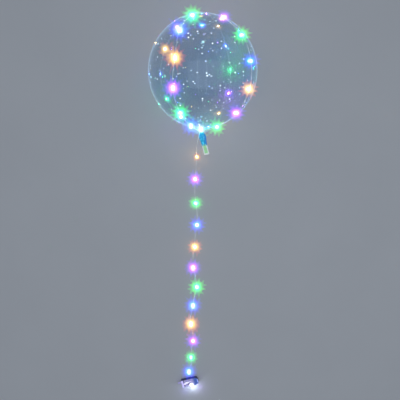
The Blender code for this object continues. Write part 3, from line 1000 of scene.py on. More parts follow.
@dataclass(frozen=True)
class CaseFinish:
    """Moulded translucent plastic, lilac, with painted light: a painted glow from within, brighter near the
    lamp and on the grip bar and the tab, painted blue light at its round end, painted highlights on its round
    edge, and painted shade on its sides and beside the grip bar.

    Its bands are given along the case's own axes, the side's as a depth under the lid's top.
    """

    pose: Matrix
    lid_top: float
    painted_lights: tuple[PaintedLight, ...]
    shaded_side_band: tuple[float, float] = (0.0004, 0.0030)
    main_band: tuple[float, float] = (-0.0430, -0.0420)
    round_band: tuple[float, float] = (0.010, 0.028)
    gap_start: tuple[float, float] = (-0.0318, -0.0308)
    gap_end: tuple[float, float] = (-0.0268, -0.0285)
    bar_band: tuple[float, float] = (-0.0312, -0.0326)
    lilac: Colour = (0.42, 0.39, 0.60)
    pale_lilac: Colour = (0.60, 0.57, 0.78)
    blue: Colour = (0.12, 0.17, 0.42)
    gap_painted_shade: Colour = (0.05, 0.05, 0.09)
    side_painted_shade: Colour = (0.055, 0.055, 0.13)
    inner_light: Colour = (0.12, 0.105, 0.25)
    round_light: Colour = (0.01, 0.045, 0.24)
    bar_light: Colour = (0.34, 0.31, 0.62)
    tab_light: Colour = (0.13, 0.11, 0.27)
    gap_light: Colour = (0.01, 0.01, 0.03)
    shaded_side_light: Colour = (0.004, 0.004, 0.022)
    grain_scale: float = 1400.0
    cloud_scale: float = 38.0
    scuff_scale: float = 220.0
    scuff_band: tuple[float, float] = (0.58, 0.75)
    relief: float = 0.00006

    def build(self) -> bpy.types.Material:
        """Make the material.

        Returns:
            The material.
        """
        graph = Graph("case_plastic")
        grain = graph.noise(self.grain_scale, 3.0, 0.6)
        cloud = graph.noise(self.cloud_scale, 2.0)
        offset = graph.vector("SUBTRACT", graph.place(), tuple(self.pose.translation))
        x = graph.reach(offset, self.pose.col[0].to_3d())
        y = graph.reach(offset, self.pose.col[1].to_3d())
        depth = self.lid_top - graph.reach(offset, self.pose.col[2].to_3d())
        main = x.ramp(*self.main_band)
        side = depth.ramp(*self.shaded_side_band) * main
        round_end = x.ramp(*self.round_band)
        # Painted shade: a strip beside the grip bar is darkened, in colour and in its painted glow
        gap = x.ramp(*self.gap_start) * x.ramp(*self.gap_end)
        # Painted blue light: the round end is coloured blue
        colour = graph.mix(round_end, graph.mix(cloud, self.lilac, self.pale_lilac), self.blue)
        colour = graph.mix(gap * 0.8, colour, self.gap_painted_shade)
        # Painted glow from within, bluer at the round end and brighter on the grip bar and the tab
        light = graph.mix(round_end, self.inner_light, self.round_light)
        light = graph.mix(x.ramp(*self.bar_band), light, self.bar_light)
        light = graph.mix(1.0 - main, light, self.tab_light)
        light = graph.mix(gap, light, self.gap_light)
        # Painted light: glows and highlights added as emission
        for painted_light in self.painted_lights:
            across = (x - painted_light.place[0]) / painted_light.size[0]
            along = (y - painted_light.place[1]) / painted_light.size[1]
            away = graph.math("SQRT", across * across + along * along)
            light = graph.mix(away.ramp(1.0, 0.15) * painted_light.strength, light, painted_light.colour, "ADD")
        # Painted shade: the sides below the lid's top go dark and lose the painted glow
        colour = graph.mix(side, colour, self.side_painted_shade)
        light = graph.mix(side, light, self.shaded_side_light)
        scuff = graph.noise(self.scuff_scale, 4.0, 0.7).ramp(*self.scuff_band)
        return graph.done(graph.principled(
            Base_Color=colour, Roughness=grain * 0.12 + scuff * 0.12 + 0.24, IOR=1.5, Coat_Weight=0.25,
            Coat_Roughness=0.12, Emission_Color=light, Emission_Strength=1.0,
            Normal=graph.bump(grain, self.relief)))


@dataclass(frozen=True)
class SwitchFinish:
    """Grained finish of the switch's dark plastic or the screw's steel."""

    name: str
    colour: Colour
    metallic: float = 0.0
    grain_scale: float = 1600.0
    grain_light: float = 1.7
    relief: float = 0.00004

    def build(self) -> bpy.types.Material:
        """Make the material.

        Returns:
            The material.
        """
        graph = Graph(self.name)
        grain = graph.noise(self.grain_scale, 3.0)
        pale = tuple(min(1.0, part * self.grain_light) for part in self.colour)
        colour = graph.mix(grain, self.colour, pale)
        return graph.done(graph.principled(
            Base_Color=colour, Metallic=self.metallic, Roughness=grain * 0.2 + 0.3,
            Normal=graph.bump(grain, self.relief)))


@dataclass(frozen=True)
class LampFinish:
    """Clear dome full of white light, a little blue at its foot."""

    power: float = 1.7
    ring_scale: float = 700.0
    white: Colour = (1.0, 1.0, 1.0)
    foot_blue: Colour = (0.55, 0.75, 1.0)
    share: float = 0.85
    tint: Colour = (0.95, 0.97, 1.0)

    def build(self) -> bpy.types.Material:
        """Make the material.

        Returns:
            The material.
        """
        graph = Graph("lamp_resin")
        rings = graph.noise(self.ring_scale, 1.0)
        light = graph.mix((graph.facing() * 0.8 + rings * 0.2).clamped(), self.white, self.foot_blue)
        skin = graph.principled(
            Base_Color=(0.92, 0.95, 1.0), Roughness=0.06, Coat_Weight=1.0, Emission_Color=light,
            Emission_Strength=self.power)
        return graph.done(graph.see_through(self.share, self.tint, skin))


@dataclass(frozen=True)
class FloorFinish:
    """Plain pale floor, faintly mottled."""

    grey: Colour = (0.70, 0.71, 0.73)
    pale_grey: Colour = (0.76, 0.77, 0.79)

    def build(self) -> bpy.types.Material:
        """Make the material.

        Returns:
            The material.
        """
        graph = Graph("pale_floor")
        colour = graph.mix(graph.noise(3.0, 3.0), self.grey, self.pale_grey)
        return graph.done(graph.principled(Base_Color=colour, Roughness=0.75))


# Pieces


@dataclass
class BalloonFilm:
    """Sealed film: sphere, pleated gather, tied neck and crinkled tail, on its flat spot."""

    shape: BalloonShape
    sides: int = 160
    sphere_rings: int = 78
    gather_rings: int = 26
    tail_rings: int = 34
    gather_spacing: float = 0.8
    fold_start: float = math.radians(146.0)
    fold_depth: float = 0.0022
    fold_end: float = 0.93
    fold_lean: float = 1.7
    fold_onset: float = 2.2
    fold_phase: float = 1.7
    folds: tuple[tuple[int, float], ...] = ((10, 0.5), (23, 0.9), (37, 0.5))
    tail_width: tuple[float, float] = (0.027, 0.0195)
    tail_thickness: float = 0.0026
    tail_crinkle: float = 0.0014
    crinkle_waves: float = 1.3
    crinkle_slant: float = 9.0
    crinkle_fade: float = 0.7
    fine_crinkle: tuple[float, float, float] = (9.0, 14.0, 2.0)
    open_share: float = 0.36
    sharp_degrees: float = 80.0

    def fold(self, polar: float, azimuth: float) -> float:
        """How far the pleats draw the film in at a place.

        Args:
            polar: Angle from the crown.
            azimuth: Angle round from the upper side.

        Returns:
            The depth of the pleats there.
        """
        if polar <= self.fold_start:
            return 0.0
        share = (polar - self.fold_start) / (self.shape.neck_polar - self.fold_start)
        swell = math.sin(math.pi * min(self.fold_end, share) ** self.fold_lean)
        depth = self.fold_depth * swell * min(1.0, self.fold_onset * share)
        wave = 0.0
        total = 0.0
        for index, (count, weight) in enumerate(self.folds):
            wave += weight * (0.5 - 0.5 * math.cos(count * azimuth + self.fold_phase * index))
            total += weight
        return depth * wave / total

    def film_ring(self, polar: float) -> Ring:
        """Ring of film round the balloon.

        Args:
            polar: Angle from the crown.

        Returns:
            The ring.
        """
        ring = []
        for side in range(self.sides):
            azimuth = math.tau * side / self.sides
            distance = self.shape.film_radius(polar) - self.fold(polar, azimuth)
            ring.append(self.shape.around(polar, azimuth, distance))
        return ring

    def tail_ring(self, share: float) -> Ring:
        """Ring of the film tail at a share of its length.

        Args:
            share: Share of the tail's length, from the neck.

        Returns:
            The ring.
        """
        shape = self.shape
        centre, across, front = shape.tail_frame(shape.tail_length * share)
        opening = min(1.0, share / self.open_share)
        spread = math.sin(opening * math.pi / 2)
        narrowing = max(0.0, (share - self.open_share) / (1.0 - self.open_share))
        width = 2 * shape.neck_radius + (self.tail_width[0] - 2 * shape.neck_radius) * spread
        width -= (self.tail_width[0] - self.tail_width[1]) * narrowing
        thickness = 2 * shape.neck_radius + (self.tail_thickness - 2 * shape.neck_radius) * spread
        crinkle = self.tail_crinkle * opening * (1.0 - self.crinkle_fade * narrowing)
        ring = []
        for side in range(self.sides):
            azimuth = math.tau * side / self.sides
            sideways = math.sin(azimuth)
            fine = noise.noise(Vector((self.fine_crinkle[0] * sideways, self.fine_crinkle[1] * share,
                                       self.fine_crinkle[2] + math.cos(azimuth))))
            slant = math.tau * self.crinkle_waves * sideways + self.crinkle_slant * share
            wave = crinkle * (math.sin(slant) + 0.5 * fine)
            depth = thickness / 2 * math.cos(azimuth) + wave * (1.0 - sideways ** 4)
            ring.append(centre + across * (width / 2 * sideways) + front * depth)
        return ring

    def mesh(self) -> bpy.types.Mesh:
        """Mesh of the whole film, with the tail's faces in the second material.

        Returns:
            The mesh.
        """
        builder = bmesh.new()
        shape = self.shape
        rings = []
        for step in range(1, self.sphere_rings + 1):
            rings.append(self.film_ring(shape.gather_start * step / self.sphere_rings))
        for step in range(1, self.gather_rings + 1):
            share = (step / self.gather_rings) ** self.gather_spacing
            rings.append(self.film_ring(shape.gather_start + (shape.neck_polar - shape.gather_start) * share))
        neck = [Vector((point.x, point.y, shape.neck_top - shape.neck_length)) for point in rings[-1]]
        rings.append(neck)
        made = loft(builder, rings, capped=False)
        crown = builder.verts.new((0.0, 0.0, shape.radius))
        for side in range(self.sides):
            builder.faces.new((crown, made[0][side], made[0][(side + 1) % self.sides]))
        self.cut_flat_spot(builder)
        tail = [self.tail_ring(step / self.tail_rings) for step in range(self.tail_rings + 1)]
        loft(builder, tail, material=1, capped=False)
        bmesh.ops.remove_doubles(builder, verts=builder.verts[:], dist=WELD_DISTANCE)
        builder.transform(shape.pose)
        return finish_mesh(builder, "balloon_skin", self.sharp_degrees)

    def cut_flat_spot(self, builder: bmesh.types.BMesh) -> None:
        """Cut the film flat where it rests on the floor.

        Args:
            builder: Bmesh of the film, in the balloon's own axes.
        """
        to_local = self.shape.pose.inverted()
        down = (to_local.to_3x3() @ Vector((0.0, 0.0, -1.0))).normalized()
        geometry = builder.verts[:] + builder.edges[:] + builder.faces[:]
        cut = bmesh.ops.bisect_plane(builder, geom=geometry, dist=WELD_DISTANCE,
                                     plane_co=to_local.translation, plane_no=down, clear_outer=True)
        rim = [item for item in cut["geom_cut"] if isinstance(item, bmesh.types.BMEdge)]
        bmesh.ops.contextual_create(builder, geom=rim)

    def build(self, film: bpy.types.Material, tail: bpy.types.Material) -> bpy.types.Object:
        """Make the film and set it in the place of its solid.

        Args:
            film: Finish of the balloon.
            tail: Finish of its tail.

        Returns:
            The film.
        """
        skin = add_object("balloon_skin", self.mesh(), (film, tail))
        settle(skin, Body.BALLOON, "balloon_film")
        return skin


@dataclass
class FillingSleeve:
    """Flat milky sleeve that the balloon is filled through."""

    shape: BalloonShape
    width: tuple[float, float] = (0.0188, 0.0198)
    thickness: float = 0.0024
    wall: float = 0.0004
    overlap: float = 0.006
    squareness: float = 0.8
    flatness: float = 0.8
    sag: float = 0.00035
    sag_waves: float = 7.0
    sides: int = 64
    rings: int = 26
    sharp_degrees: float = 50.0

    def ring(self, share: float, wall: float) -> Ring:
        """Ring of the sleeve.

        Args:
            share: Share of its length, from the balloon.
            wall: How far the ring is set in.

        Returns:
            The ring.
        """
        start = self.shape.tail_length - self.overlap
        length = self.shape.sleeve_length + self.overlap + TOUCH_GAP
        centre, across, front = self.shape.tail_frame(start + length * share)
        width = self.width[0] + (self.width[1] - self.width[0]) * share
        sag = self.sag * math.sin(self.sag_waves * share)
        ring = []
        for side in range(self.sides):
            azimuth = math.tau * side / self.sides
            flat = math.copysign(abs(math.sin(azimuth)) ** self.squareness, math.sin(azimuth))
            depth = (self.thickness / 2 - wall) * math.cos(azimuth) * self.flatness + sag * (1.0 - flat ** 2)
            ring.append(centre + across * ((width / 2 - wall) * flat) + front * depth)
        return ring

    def build(self, finish: bpy.types.Material) -> bpy.types.Object:
        """Make the sleeve and set it in the place of its solid.

        Args:
            finish: Its finish.

        Returns:
            The sleeve.
        """
        builder = bmesh.new()
        shares = [step / self.rings for step in range(self.rings + 1)]
        outer = [self.ring(share, 0.0) for share in shares]
        inner = [self.ring(share, self.wall) for share in reversed(shares)]
        loft(builder, outer, capped=False, mapped=True)
        loft(builder, inner, capped=False, mapped=True)
        loft(builder, [outer[-1], inner[0]], capped=False)
        bmesh.ops.remove_doubles(builder, verts=builder.verts[:], dist=WELD_DISTANCE)
        builder.transform(self.shape.pose)
        mesh = finish_mesh(builder, "milky_sleeve", self.sharp_degrees)
        sleeve = add_object("milky_sleeve", mesh, (finish,))
        settle(sleeve, Body.BALLOON, "filling_sleeve")
        return sleeve


@dataclass
class WirePair:
    """Two fine strands that twist round each other."""

    strand_radius: float = 0.00021
    spread: float = 0.00022
    twist_pitch: float = 0.026
    sides: int = 5
    sharp_degrees: float = 80.0

    def mesh(self, name: str, points: Sequence[Vector]) -> bpy.types.Mesh:
        """Mesh of the pair along a line of points.

        Args:
            name: Name of the mesh.
            points: Points of the pair's middle line.

        Returns:
            The mesh.
        """
        frames = []
        across = None
        gone = 0.0
        for index, point in enumerate(points):
            after = points[min(index + 1, len(points) - 1)]
            before = points[max(index - 1, 0)]
            heading = (after - before).normalized()
            if across is None:
                across = heading.orthogonal().normalized()
            across = (across - heading * across.dot(heading)).normalized()
            if index:
                gone += (point - points[index - 1]).length
            turn = math.tau * gone / self.twist_pitch
            frames.append((point, across, heading.cross(across), turn))
        builder = bmesh.new()
        for half in (0.0, math.pi):
            rings = []
            for point, side, up, turn in frames:
                angle = turn + half
                centre = point + (side * math.cos(angle) + up * math.sin(angle)) * self.spread
                ring = []
                for corner in range(self.sides):
                    round_strand = math.tau * corner / self.sides + angle
                    offset = side * math.cos(round_strand) + up * math.sin(round_strand)
                    ring.append(centre + offset * self.strand_radius)
                rings.append(ring)
            loft(builder, rings)
        return finish_mesh(builder, name, self.sharp_degrees)


@dataclass
class LightDrop:
    """Resin drop on the wire, with its chip inside."""

    length: float = 0.0060
    radius: float = 0.0018
    end_share: float = 0.16
    bluntness: float = 2.3
    chip_length: float = 0.0031
    chip_radius: float = 0.0012
    chip_sides: int = 8
    sides: int = 20
    rings: int = 12
    sharp_degrees: float = 60.0
    meshes: dict[Hue, bpy.types.Mesh] = field(default_factory=dict)

    def mesh(self, hue: Hue) -> bpy.types.Mesh:
        """Mesh of a drop of one colour, made once.

        Args:
            hue: The colour.

        Returns:
            The mesh.
        """
        if hue in self.meshes:
            return self.meshes[hue]
        builder = bmesh.new()
        rings = []
        for step in range(self.rings + 1):
            share = step / self.rings
            along = -math.cos(math.pi * share)
            radius = self.radius * max(self.end_share, math.sqrt(1.0 - abs(along) ** self.bluntness))
            rings.append([Vector((along * self.length / 2, y, z)) for y, z in circle(radius, self.sides)])
        loft(builder, rings)
        chip = []
        for x in (-self.chip_length / 2, self.chip_length / 2):
            chip.append([Vector((x, y, z)) for y, z in circle(self.chip_radius, self.chip_sides)])
        loft(builder, chip, material=1)
        mesh = finish_mesh(builder, f"drop_{hue.name.lower()}", self.sharp_degrees)
        mesh.materials.append(ResinFinish(hue).build())
        mesh.materials.append(ChipFinish(hue).build())
        self.meshes[hue] = mesh
        return mesh

    def build(self, name: str, node: str, number: int, centre: Vector, heading: Vector) -> bpy.types.Object:
        """Make one drop.

        Args:
            name: Name of the piece.
            node: Solid that it stands for.
            number: Its number in the order of colours, from 1.
            centre: Its middle.
            heading: Direction of the wire through it.

        Returns:
            The drop.
        """
        mesh = self.mesh(Hue.of(number)).copy()
        mesh.transform(Matrix.Translation(centre) @ heading.to_track_quat("X", "Z").to_matrix().to_4x4())
        drop = add_object(name, mesh, ())
        settle(drop, Body.BALLOON, node)
        return drop


@dataclass
class LightString:
    """Wire and lights, from the wrap on the neck over the balloon and down to the case.

    A point of the tether's route is its X, its Y, how far it is lifted off the floor, and its mark. A
    point of a loop is degrees from the crown, degrees round, extra lift in millimetres, and its mark.
    """

    shape: BalloonShape
    pair: WirePair
    drop: LightDrop
    wire_radius: float = 0.00045
    light_radius: float = 0.0018
    wrap_turns: float = 2.1
    wrap_pitch: float = 0.0014
    wrap_start: float = math.radians(-90.0)
    wrap_points_per_turn: int = 12
    wrap_step: float = 0.0008
    wire_step: float = 0.003
    film_leads: tuple[float, ...] = (2 * TOUCH_GAP, 0.003)
    tether_leads: tuple[float, ...] = (2 * TOUCH_GAP, 0.004)
    tether_end: tuple[float, float, float] = (-0.0637, -1.4117, 0.0072)
    tether_route: tuple[RoutePoint, ...] = (
        (-0.0118, -0.2165, 0.1502, BARE), (-0.0178, -0.2400, 0.1325, BARE), (-0.0213, -0.2630, 0.1035, BARE),
        (-0.0232, -0.2860, 0.0690, BARE), (-0.0243, -0.3157, 0.0329, LIT), (-0.0252, -0.3420, 0.0125, BARE),
        (-0.0266, -0.3720, 0.0024, BARE), (-0.0282, -0.3980, 0.0000, BARE), (-0.0292, -0.4200, 0.0000, LIT),
        (-0.0328, -0.4750, 0.0000, BARE), (-0.0273, -0.5280, 0.0000, LIT), (-0.0222, -0.5780, 0.0000, BARE),
        (-0.0230, -0.6275, 0.0000, LIT), (-0.0312, -0.6780, 0.0000, BARE), (-0.0346, -0.7305, 0.0000, LIT),
        (-0.0422, -0.7830, 0.0000, BARE), (-0.0396, -0.8345, 0.0000, LIT), (-0.0292, -0.8820, 0.0000, BARE),
        (-0.0259, -0.9320, 0.0000, LIT), (-0.0365, -0.9780, 0.0000, BARE), (-0.0427, -1.0275, 0.0000, LIT),
        (-0.0530, -1.0740, 0.0000, BARE), (-0.0552, -1.1235, 0.0000, LIT), (-0.0452, -1.1690, 0.0000, BARE),
        (-0.0411, -1.2150, 0.0000, LIT), (-0.0515, -1.2600, 0.0000, BARE), (-0.0538, -1.3075, 0.0000, LIT),
        (-0.0508, -1.3350, 0.0000, BARE), (-0.0592, -1.3630, 0.0000, BARE), (-0.0666, -1.3872, 0.0002, LIT),
        (-0.0658, -1.4005, 0.0024, BARE))
    loop_one: tuple[RoutePoint, ...] = (
        (175.6, -58.0, 0.0, BARE), (170.0, -44.0, 0.0, BARE), (155.0, -31.0, 0.0, LIT),
        (128.8, -30.0, 0.0, LIT), (102.0, -30.5, 0.0, LIT), (75.5, -27.5, 0.0, LIT),
        (48.2, -30.0, 0.0, LIT), (22.0, -27.5, 0.0, LIT), (8.8, 156.0, 0.0, LIT),
        (34.6, 148.5, 0.0, LIT), (60.5, 148.3, 0.0, LIT), (87.4, 145.1, 0.0, LIT),
        (114.5, 144.2, 0.0, LIT), (142.2, 147.3, 0.0, LIT), (169.2, 140.0, 0.0, LIT),
        (174.5, 116.0, 0.0, BARE), (174.6, 82.0, 0.0, BARE))
    loop_two: tuple[RoutePoint, ...] = (
        (160.8, 55.0, 0.0, LIT), (131.6, 52.5, 0.0, LIT), (104.7, 55.6, 0.0, LIT),
        (77.9, 54.8, 0.0, LIT), (52.0, 54.5, 0.0, LIT), (28.2, 48.0, 0.0, LIT),
        (18.0, 84.0, 0.0, BARE), (22.8, 121.5, 0.0, LIT), (27.0, 149.0, 1.6, BARE),
        (33.6, -178.9, 0.0, LIT), (26.0, -152.0, 0.0, BARE), (15.0, -131.0, 0.0, LIT),
        (22.0, -110.0, 0.0, BARE), (37.4, -130.5, 0.0, LIT), (64.4, -126.6, 0.0, LIT),
        (91.5, -124.0, 0.0, LIT), (119.7, -123.5, 0.0, LIT), (147.6, -126.0, 0.0, LIT),
        (166.0, -139.0, 0.0, BARE), (172.6, -172.0, 0.0, LIT), (174.3, 162.0, 0.0, BARE))

    @property
    def lift(self) -> float:
        """Height of the wire over what it lies on, which its lights touch."""
        return self.light_radius + TOUCH_GAP

    def wrap(self) -> list[Vector]:
        """Turns of wire round the tied neck, from the tail's end up to the film.

        Returns:
            Points of the wire's middle line, in the balloon's own axes.
        """
        radius = self.shape.neck_radius + TOUCH_GAP + self.wire_radius
        count = round(self.wrap_turns * self.wrap_points_per_turn)
        rise = self.wrap_turns * self.wrap_pitch
        low = self.shape.neck_top - self.shape.neck_length / 2 - rise / 2
        points = []
        for step in range(count + 1):
            share = step / count
            azimuth = self.wrap_start + math.tau * self.wrap_turns * share
            turn = Vector((radius * math.sin(azimuth), -radius * math.cos(azimuth), 0.0))
            points.append(self.shape.neck_place(low + rise * share) + turn)
        return points

    def film_run(self) -> Run:
        """Wire over both loops.

        Returns:
            The run, in the shared frame.
        """
        wrap = self.wrap()
        onward = (wrap[-1] - wrap[-2]).normalized()
        points = [wrap[-1] + onward * lead for lead in self.film_leads]
        lit = [BARE] * len(points)
        for polar, azimuth, lift, light in self.loop_one + self.loop_two:
            polar = math.radians(polar)
            distance = self.shape.film_radius(polar) + self.lift + lift * MILLIMETRE
            points.append(self.shape.around(polar, math.radians(azimuth), distance))
            lit.append(light)
        return Run([self.shape.pose @ point for point in points], lit)

    def tether_run(self) -> Run:
        """Wire from the wrap down to the floor and along it to the case.

        Returns:
            The run, in the shared frame.
        """
        wrap = self.wrap()
        backward = (wrap[0] - wrap[1]).normalized()
        points = [self.shape.pose @ (wrap[0] + backward * lead) for lead in self.tether_leads]
        lit = [BARE] * len(points)
        for x, y, rise, light in self.tether_route:
            points.append(Vector((x, y, self.lift + rise)))
            lit.append(light)
        points.append(Vector(self.tether_end))
        return Run(points, lit)

    def build_tether(self, finish: bpy.types.Material) -> bpy.types.Object:
        """Make the free cord and the lights on it.

        Args:
            finish: Finish of the wire.

        Returns:
            The cord.
        """
        run = self.tether_run()
        path = run.spaced(self.wire_step)
        cord = add_object("tether_cord", self.pair.mesh("tether_cord", path), (finish,))
        settle(cord, Body.BALLOON, "tether_wire")
        for number, place in zip(range(len(run.lights), 0, -1), run.lights):
            node = f"tether_light_{number:02d}"
            self.drop.build(f"tether_drop_{number:02d}", node, number, node_centre(node),
                                         run.heading(place))
        return cord

    def build_loops(self, finish: bpy.types.Material) -> None:
        """Make the wire and lights on the balloon, and the wrap on its neck.

        Args:
            finish: Finish of the wire.
        """
        run = self.film_run()
        wire = add_object("loop_wire", self.pair.mesh("loop_wire", run.spaced(self.wire_step)), (finish,))
        settle(wire, Body.BALLOON, "balloon_wire")
        wrap = Run([self.shape.pose @ point for point in self.wrap()])
        turns = add_object("neck_turns", self.pair.mesh("neck_turns", wrap.spaced(self.wrap_step)), (finish,))
        settle(turns, Body.BALLOON, "neck_wrap")
        for number, place in enumerate(run.lights, start=1):
            node = f"balloon_light_{number:02d}"
            self.drop.build(f"balloon_drop_{number:02d}", node, number, node_centre(node), run.heading(place))


@dataclass
class BatteryCase:
    """Battery case with lid, switch, lamp and gland."""

    length: float = 0.084
    width: float = 0.038
    tray_height: float = 0.0115
    lid_height: float = 0.0060
    edge_radius: float = 0.0012
    wall: float = 0.0015
    turn: float = math.radians(14.0)
    corner_tab_end: float = 0.004
    corner_round_end: float = 0.013
    corner_steps: int = 10
    least_corner: float = 0.0005
    tray_step: float = 0.0006
    tray_edge_steps: int = 5
    lid_step: float = 0.0005
    lid_edge_steps: int = 6
    sharp_degrees: float = 32.0
    rib_count: int = 5
    rib_start: float = -0.030
    rib_pitch: float = 0.003
    rib_width: float = 0.001
    rib_depth: tuple[float, float] = (0.0006, 0.0005)
    rib_low: float = 0.0030
    rib_drop: float = 0.0018
    grip_inset: float = 0.002
    grip: tuple[float, float, float] = (0.0078, 0.032, 0.0015)
    grip_root: float = 0.0008
    grip_edge: float = 0.0006
    groove_count: int = 4
    groove_start: float = 0.0009
    groove_pitch: float = 0.0017
    groove_width: float = 0.0006
    groove_depth: float = 0.0004
    cut_margin: float = 0.001
    tab_place: float = 0.0095
    tab: tuple[float, float, float] = (0.017, 0.0095, 0.003)
    tab_edge: float = 0.0009
    switch_place: tuple[float, float] = (-0.0105, -0.0045)
    switch_travel: float = 0.004
    knob: tuple[float, float, float] = (0.0056, 0.0048, 0.0026)
    knob_edge: float = 0.0003
    flange: tuple[float, float, float] = (0.0130, 0.0080, 0.0012)
    fine_edge: float = 0.0002
    ridge_count: int = 4
    ridge_start: float = 0.0006
    ridge_pitch: float = 0.0014
    ridge_width: float = 0.0007
    ridge_rise: float = 0.0006
    ridge_root: float = 0.0004
    knob_sharp_degrees: float = 30.0
    screw_place: tuple[float, float] = (-0.0265, -0.0105)
    screw_radius: float = 0.0024
    screw_depth: float = 0.0009
    screw_sides: int = 24
    head_share: float = 0.85
    head_top_share: float = 0.7
    head_root: float = 0.0001
    head_rim: float = 0.0003
    head_rise: float = 0.0005
    cross_share: float = 0.62
    cross_width: float = 0.0006
    cross_rise: float = 0.0001
    lamp_place: tuple[float, float] = (0.0055, -0.0112)
    lamp_radius: float = 0.0056
    lamp_height: float = 0.0046
    lamp_rim: float = 0.0010
    lamp_dome_share: float = 0.94
    lamp_dome_end: float = math.radians(83.0)
    lamp_steps: int = 8
    lamp_sides: int = 40
    gland_place: tuple[float, float] = (0.0020, 0.0072)
    gland_length: float = 0.006
    gland_base: float = 0.0026
    gland_tip: float = 0.0012
    gland_collar: float = 0.0016
    gland_start: float = 0.002
    gland_rings: int = 6
    gland_ring_share: float = 0.6
    gland_groove: float = 0.00025
    gland_slope: float = 0.0001
    gland_sides: int = 24
    turned_sharp_degrees: float = 40.0

    @property
    def lid_top(self) -> float:
        """Height of the lid's top face."""
        return self.tray_height + TOUCH_GAP + self.lid_height

    @property
    def painted_lights(self) -> tuple[PaintedLight, ...]:
        """Patches of painted light on the case: glows round its lamp and over its lid, and painted highlights
        on its round end.

        Returns:
            The patches.
        """
        lamp = self.lamp_place
        return (PaintedLight(lamp, (0.015, 0.013), (0.85, 0.90, 1.0), 1.3),
                PaintedLight((lamp[0] - 0.006, lamp[1] - 0.006), (0.016, 0.008), (1.0, 0.94, 1.0), 1.0),
                PaintedLight((-0.0140, 0.0030), (0.0130, 0.0042), (0.95, 0.95, 1.0), 2.4),
                PaintedLight((-0.0265, -0.0010), (0.0060, 0.0046), (1.0, 0.88, 1.0), 2.2),
                PaintedLight((0.0020, 0.0070), (0.0130, 0.0030), (0.60, 0.58, 0.95), 0.7),
                # Painted highlights on the edge and corner of the round end
                PaintedLight((0.0395, 0.0020), (0.0030, 0.0180), (0.50, 0.58, 1.0), 0.9),
                PaintedLight((0.0340, -0.0175), (0.0055, 0.0045), (0.85, 0.90, 1.0), 1.8))

    def pose(self, tether_end: Sequence[float]) -> Matrix:
        """Where the case sits, so that its gland meets the end of the tether.

        Args:
            tether_end: End of the tether.

        Returns:
            The case's place and turn in the shared frame.
        """
        turn = Matrix.Rotation(self.turn, 4, "Z")
        tip = Vector((self.gland_place[0], self.width / 2 + 2 * TOUCH_GAP + self.gland_length,
                      self.gland_place[1]))
        corner = Vector(tether_end) - turn.to_3x3() @ tip
        return Matrix.Translation((corner.x, corner.y, 0.0)) @ turn

    def outline(self, inset: float = 0.0) -> list[tuple[float, float]]:
        """Rounded outline, with tight corners at the tab end and wide ones opposite.

        Args:
            inset: How far it is set in.

        Returns:
            Its points.
        """
        points = []
        corners = ((1, 1, self.corner_round_end), (-1, 1, self.corner_tab_end),
                   (-1, -1, self.corner_tab_end), (1, -1, self.corner_round_end))
        for quarter, (side_x, side_y, radius) in enumerate(corners):
            for step in range(self.corner_steps + 1):
                angle = math.pi / 2 * (quarter + step / self.corner_steps)
                reach = max(radius - inset, self.least_corner)
                points.append((side_x * (self.length / 2 - radius) + reach * math.cos(angle),
                               side_y * (self.width / 2 - radius) + reach * math.sin(angle)))
        return points

    def tray_mesh(self) -> bpy.types.Mesh:
        """Hollow tray with a rounded foot, a stepped rim and ribs for the fingers on its long sides.

        Returns:
            The mesh.
        """
        top = self.tray_height
        builder = bmesh.new()
        rings = [ring_xy(self.outline(self.wall), self.wall), ring_xy(self.outline(self.wall), top),
                 ring_xy(self.outline(self.tray_step), top), ring_xy(self.outline(), top - self.tray_step)]
        for inset, down in fillet(self.edge_radius, self.tray_edge_steps):
            rings.append(ring_xy(self.outline(inset), down))
        loft(builder, rings)
        half = self.rib_width / 2
        for side in (-1, 1):
            for index in range(self.rib_count):
                x = self.rib_start + self.rib_pitch * index
                y = side * self.width / 2
                block_in(builder, (x - half, y - self.rib_depth[0], self.rib_low),
                         (x + half, y + self.rib_depth[1], top - self.rib_drop))
        return finish_mesh(builder, "case_tray", self.sharp_degrees)

    def lid_mesh(self) -> bpy.types.Mesh:
        """Hollow lid with a rounded top edge.

        Returns:
            The mesh.
        """
        bottom = self.tray_height + TOUCH_GAP
        builder = bmesh.new()
        rings = [ring_xy(self.outline(self.wall), self.lid_top - self.wall),
                 ring_xy(self.outline(self.wall), bottom), ring_xy(self.outline(self.lid_step), bottom),
                 ring_xy(self.outline(), bottom + self.lid_step)]
        for inset, down in fillet(self.edge_radius, self.lid_edge_steps):
            rings.append(ring_xy(self.outline(inset), self.lid_top - down))
        loft(builder, rings)
        return finish_mesh(builder, "case_lid", self.sharp_degrees)

    def build(self, tether_end: Sequence[float]) -> Matrix:
        """Make every piece of the case.

        Args:
            tether_end: Point at which the tether meets the gland.

        Returns:
            Where the case sits.
        """
        pose = self.pose(tether_end)
        plastic = CaseFinish(pose, self.lid_top, self.painted_lights).build()
        dark = SwitchFinish("switch_plastic", (0.045, 0.055, 0.075)).build()
        steel = SwitchFinish("screw_steel", (0.42, 0.42, 0.44), 1.0).build()
        tray = add_object("case_tray", self.tray_mesh(), (plastic,))
        lid = add_object("case_lid", self.lid_mesh(), (plastic, steel))
        self.dress_lid(lid)
        knob = add_object("switch_knob", self.knob_mesh(), (dark,))
        dome = add_object("lamp_dome", self.lamp_mesh(), (LampFinish().build(),))
        gland = add_object("cord_gland", self.gland_mesh(), (plastic,))
        for piece, body, node, slot in ((tray, Body.BALLOON, "battery_case", Slot.CASE),
                                        (lid, Body.BALLOON, "battery_lid", Slot.CASE),
                                        (knob, Body.SWITCH, "slide_switch", Slot.SWITCH),
                                        (dome, Body.BALLOON, "lamp_lens", Slot.LAMP),
                                        (gland, Body.BALLOON, "wire_gland", Slot.CASE)):
            piece.data.transform(pose)
            settle(piece, body, node)
        return pose

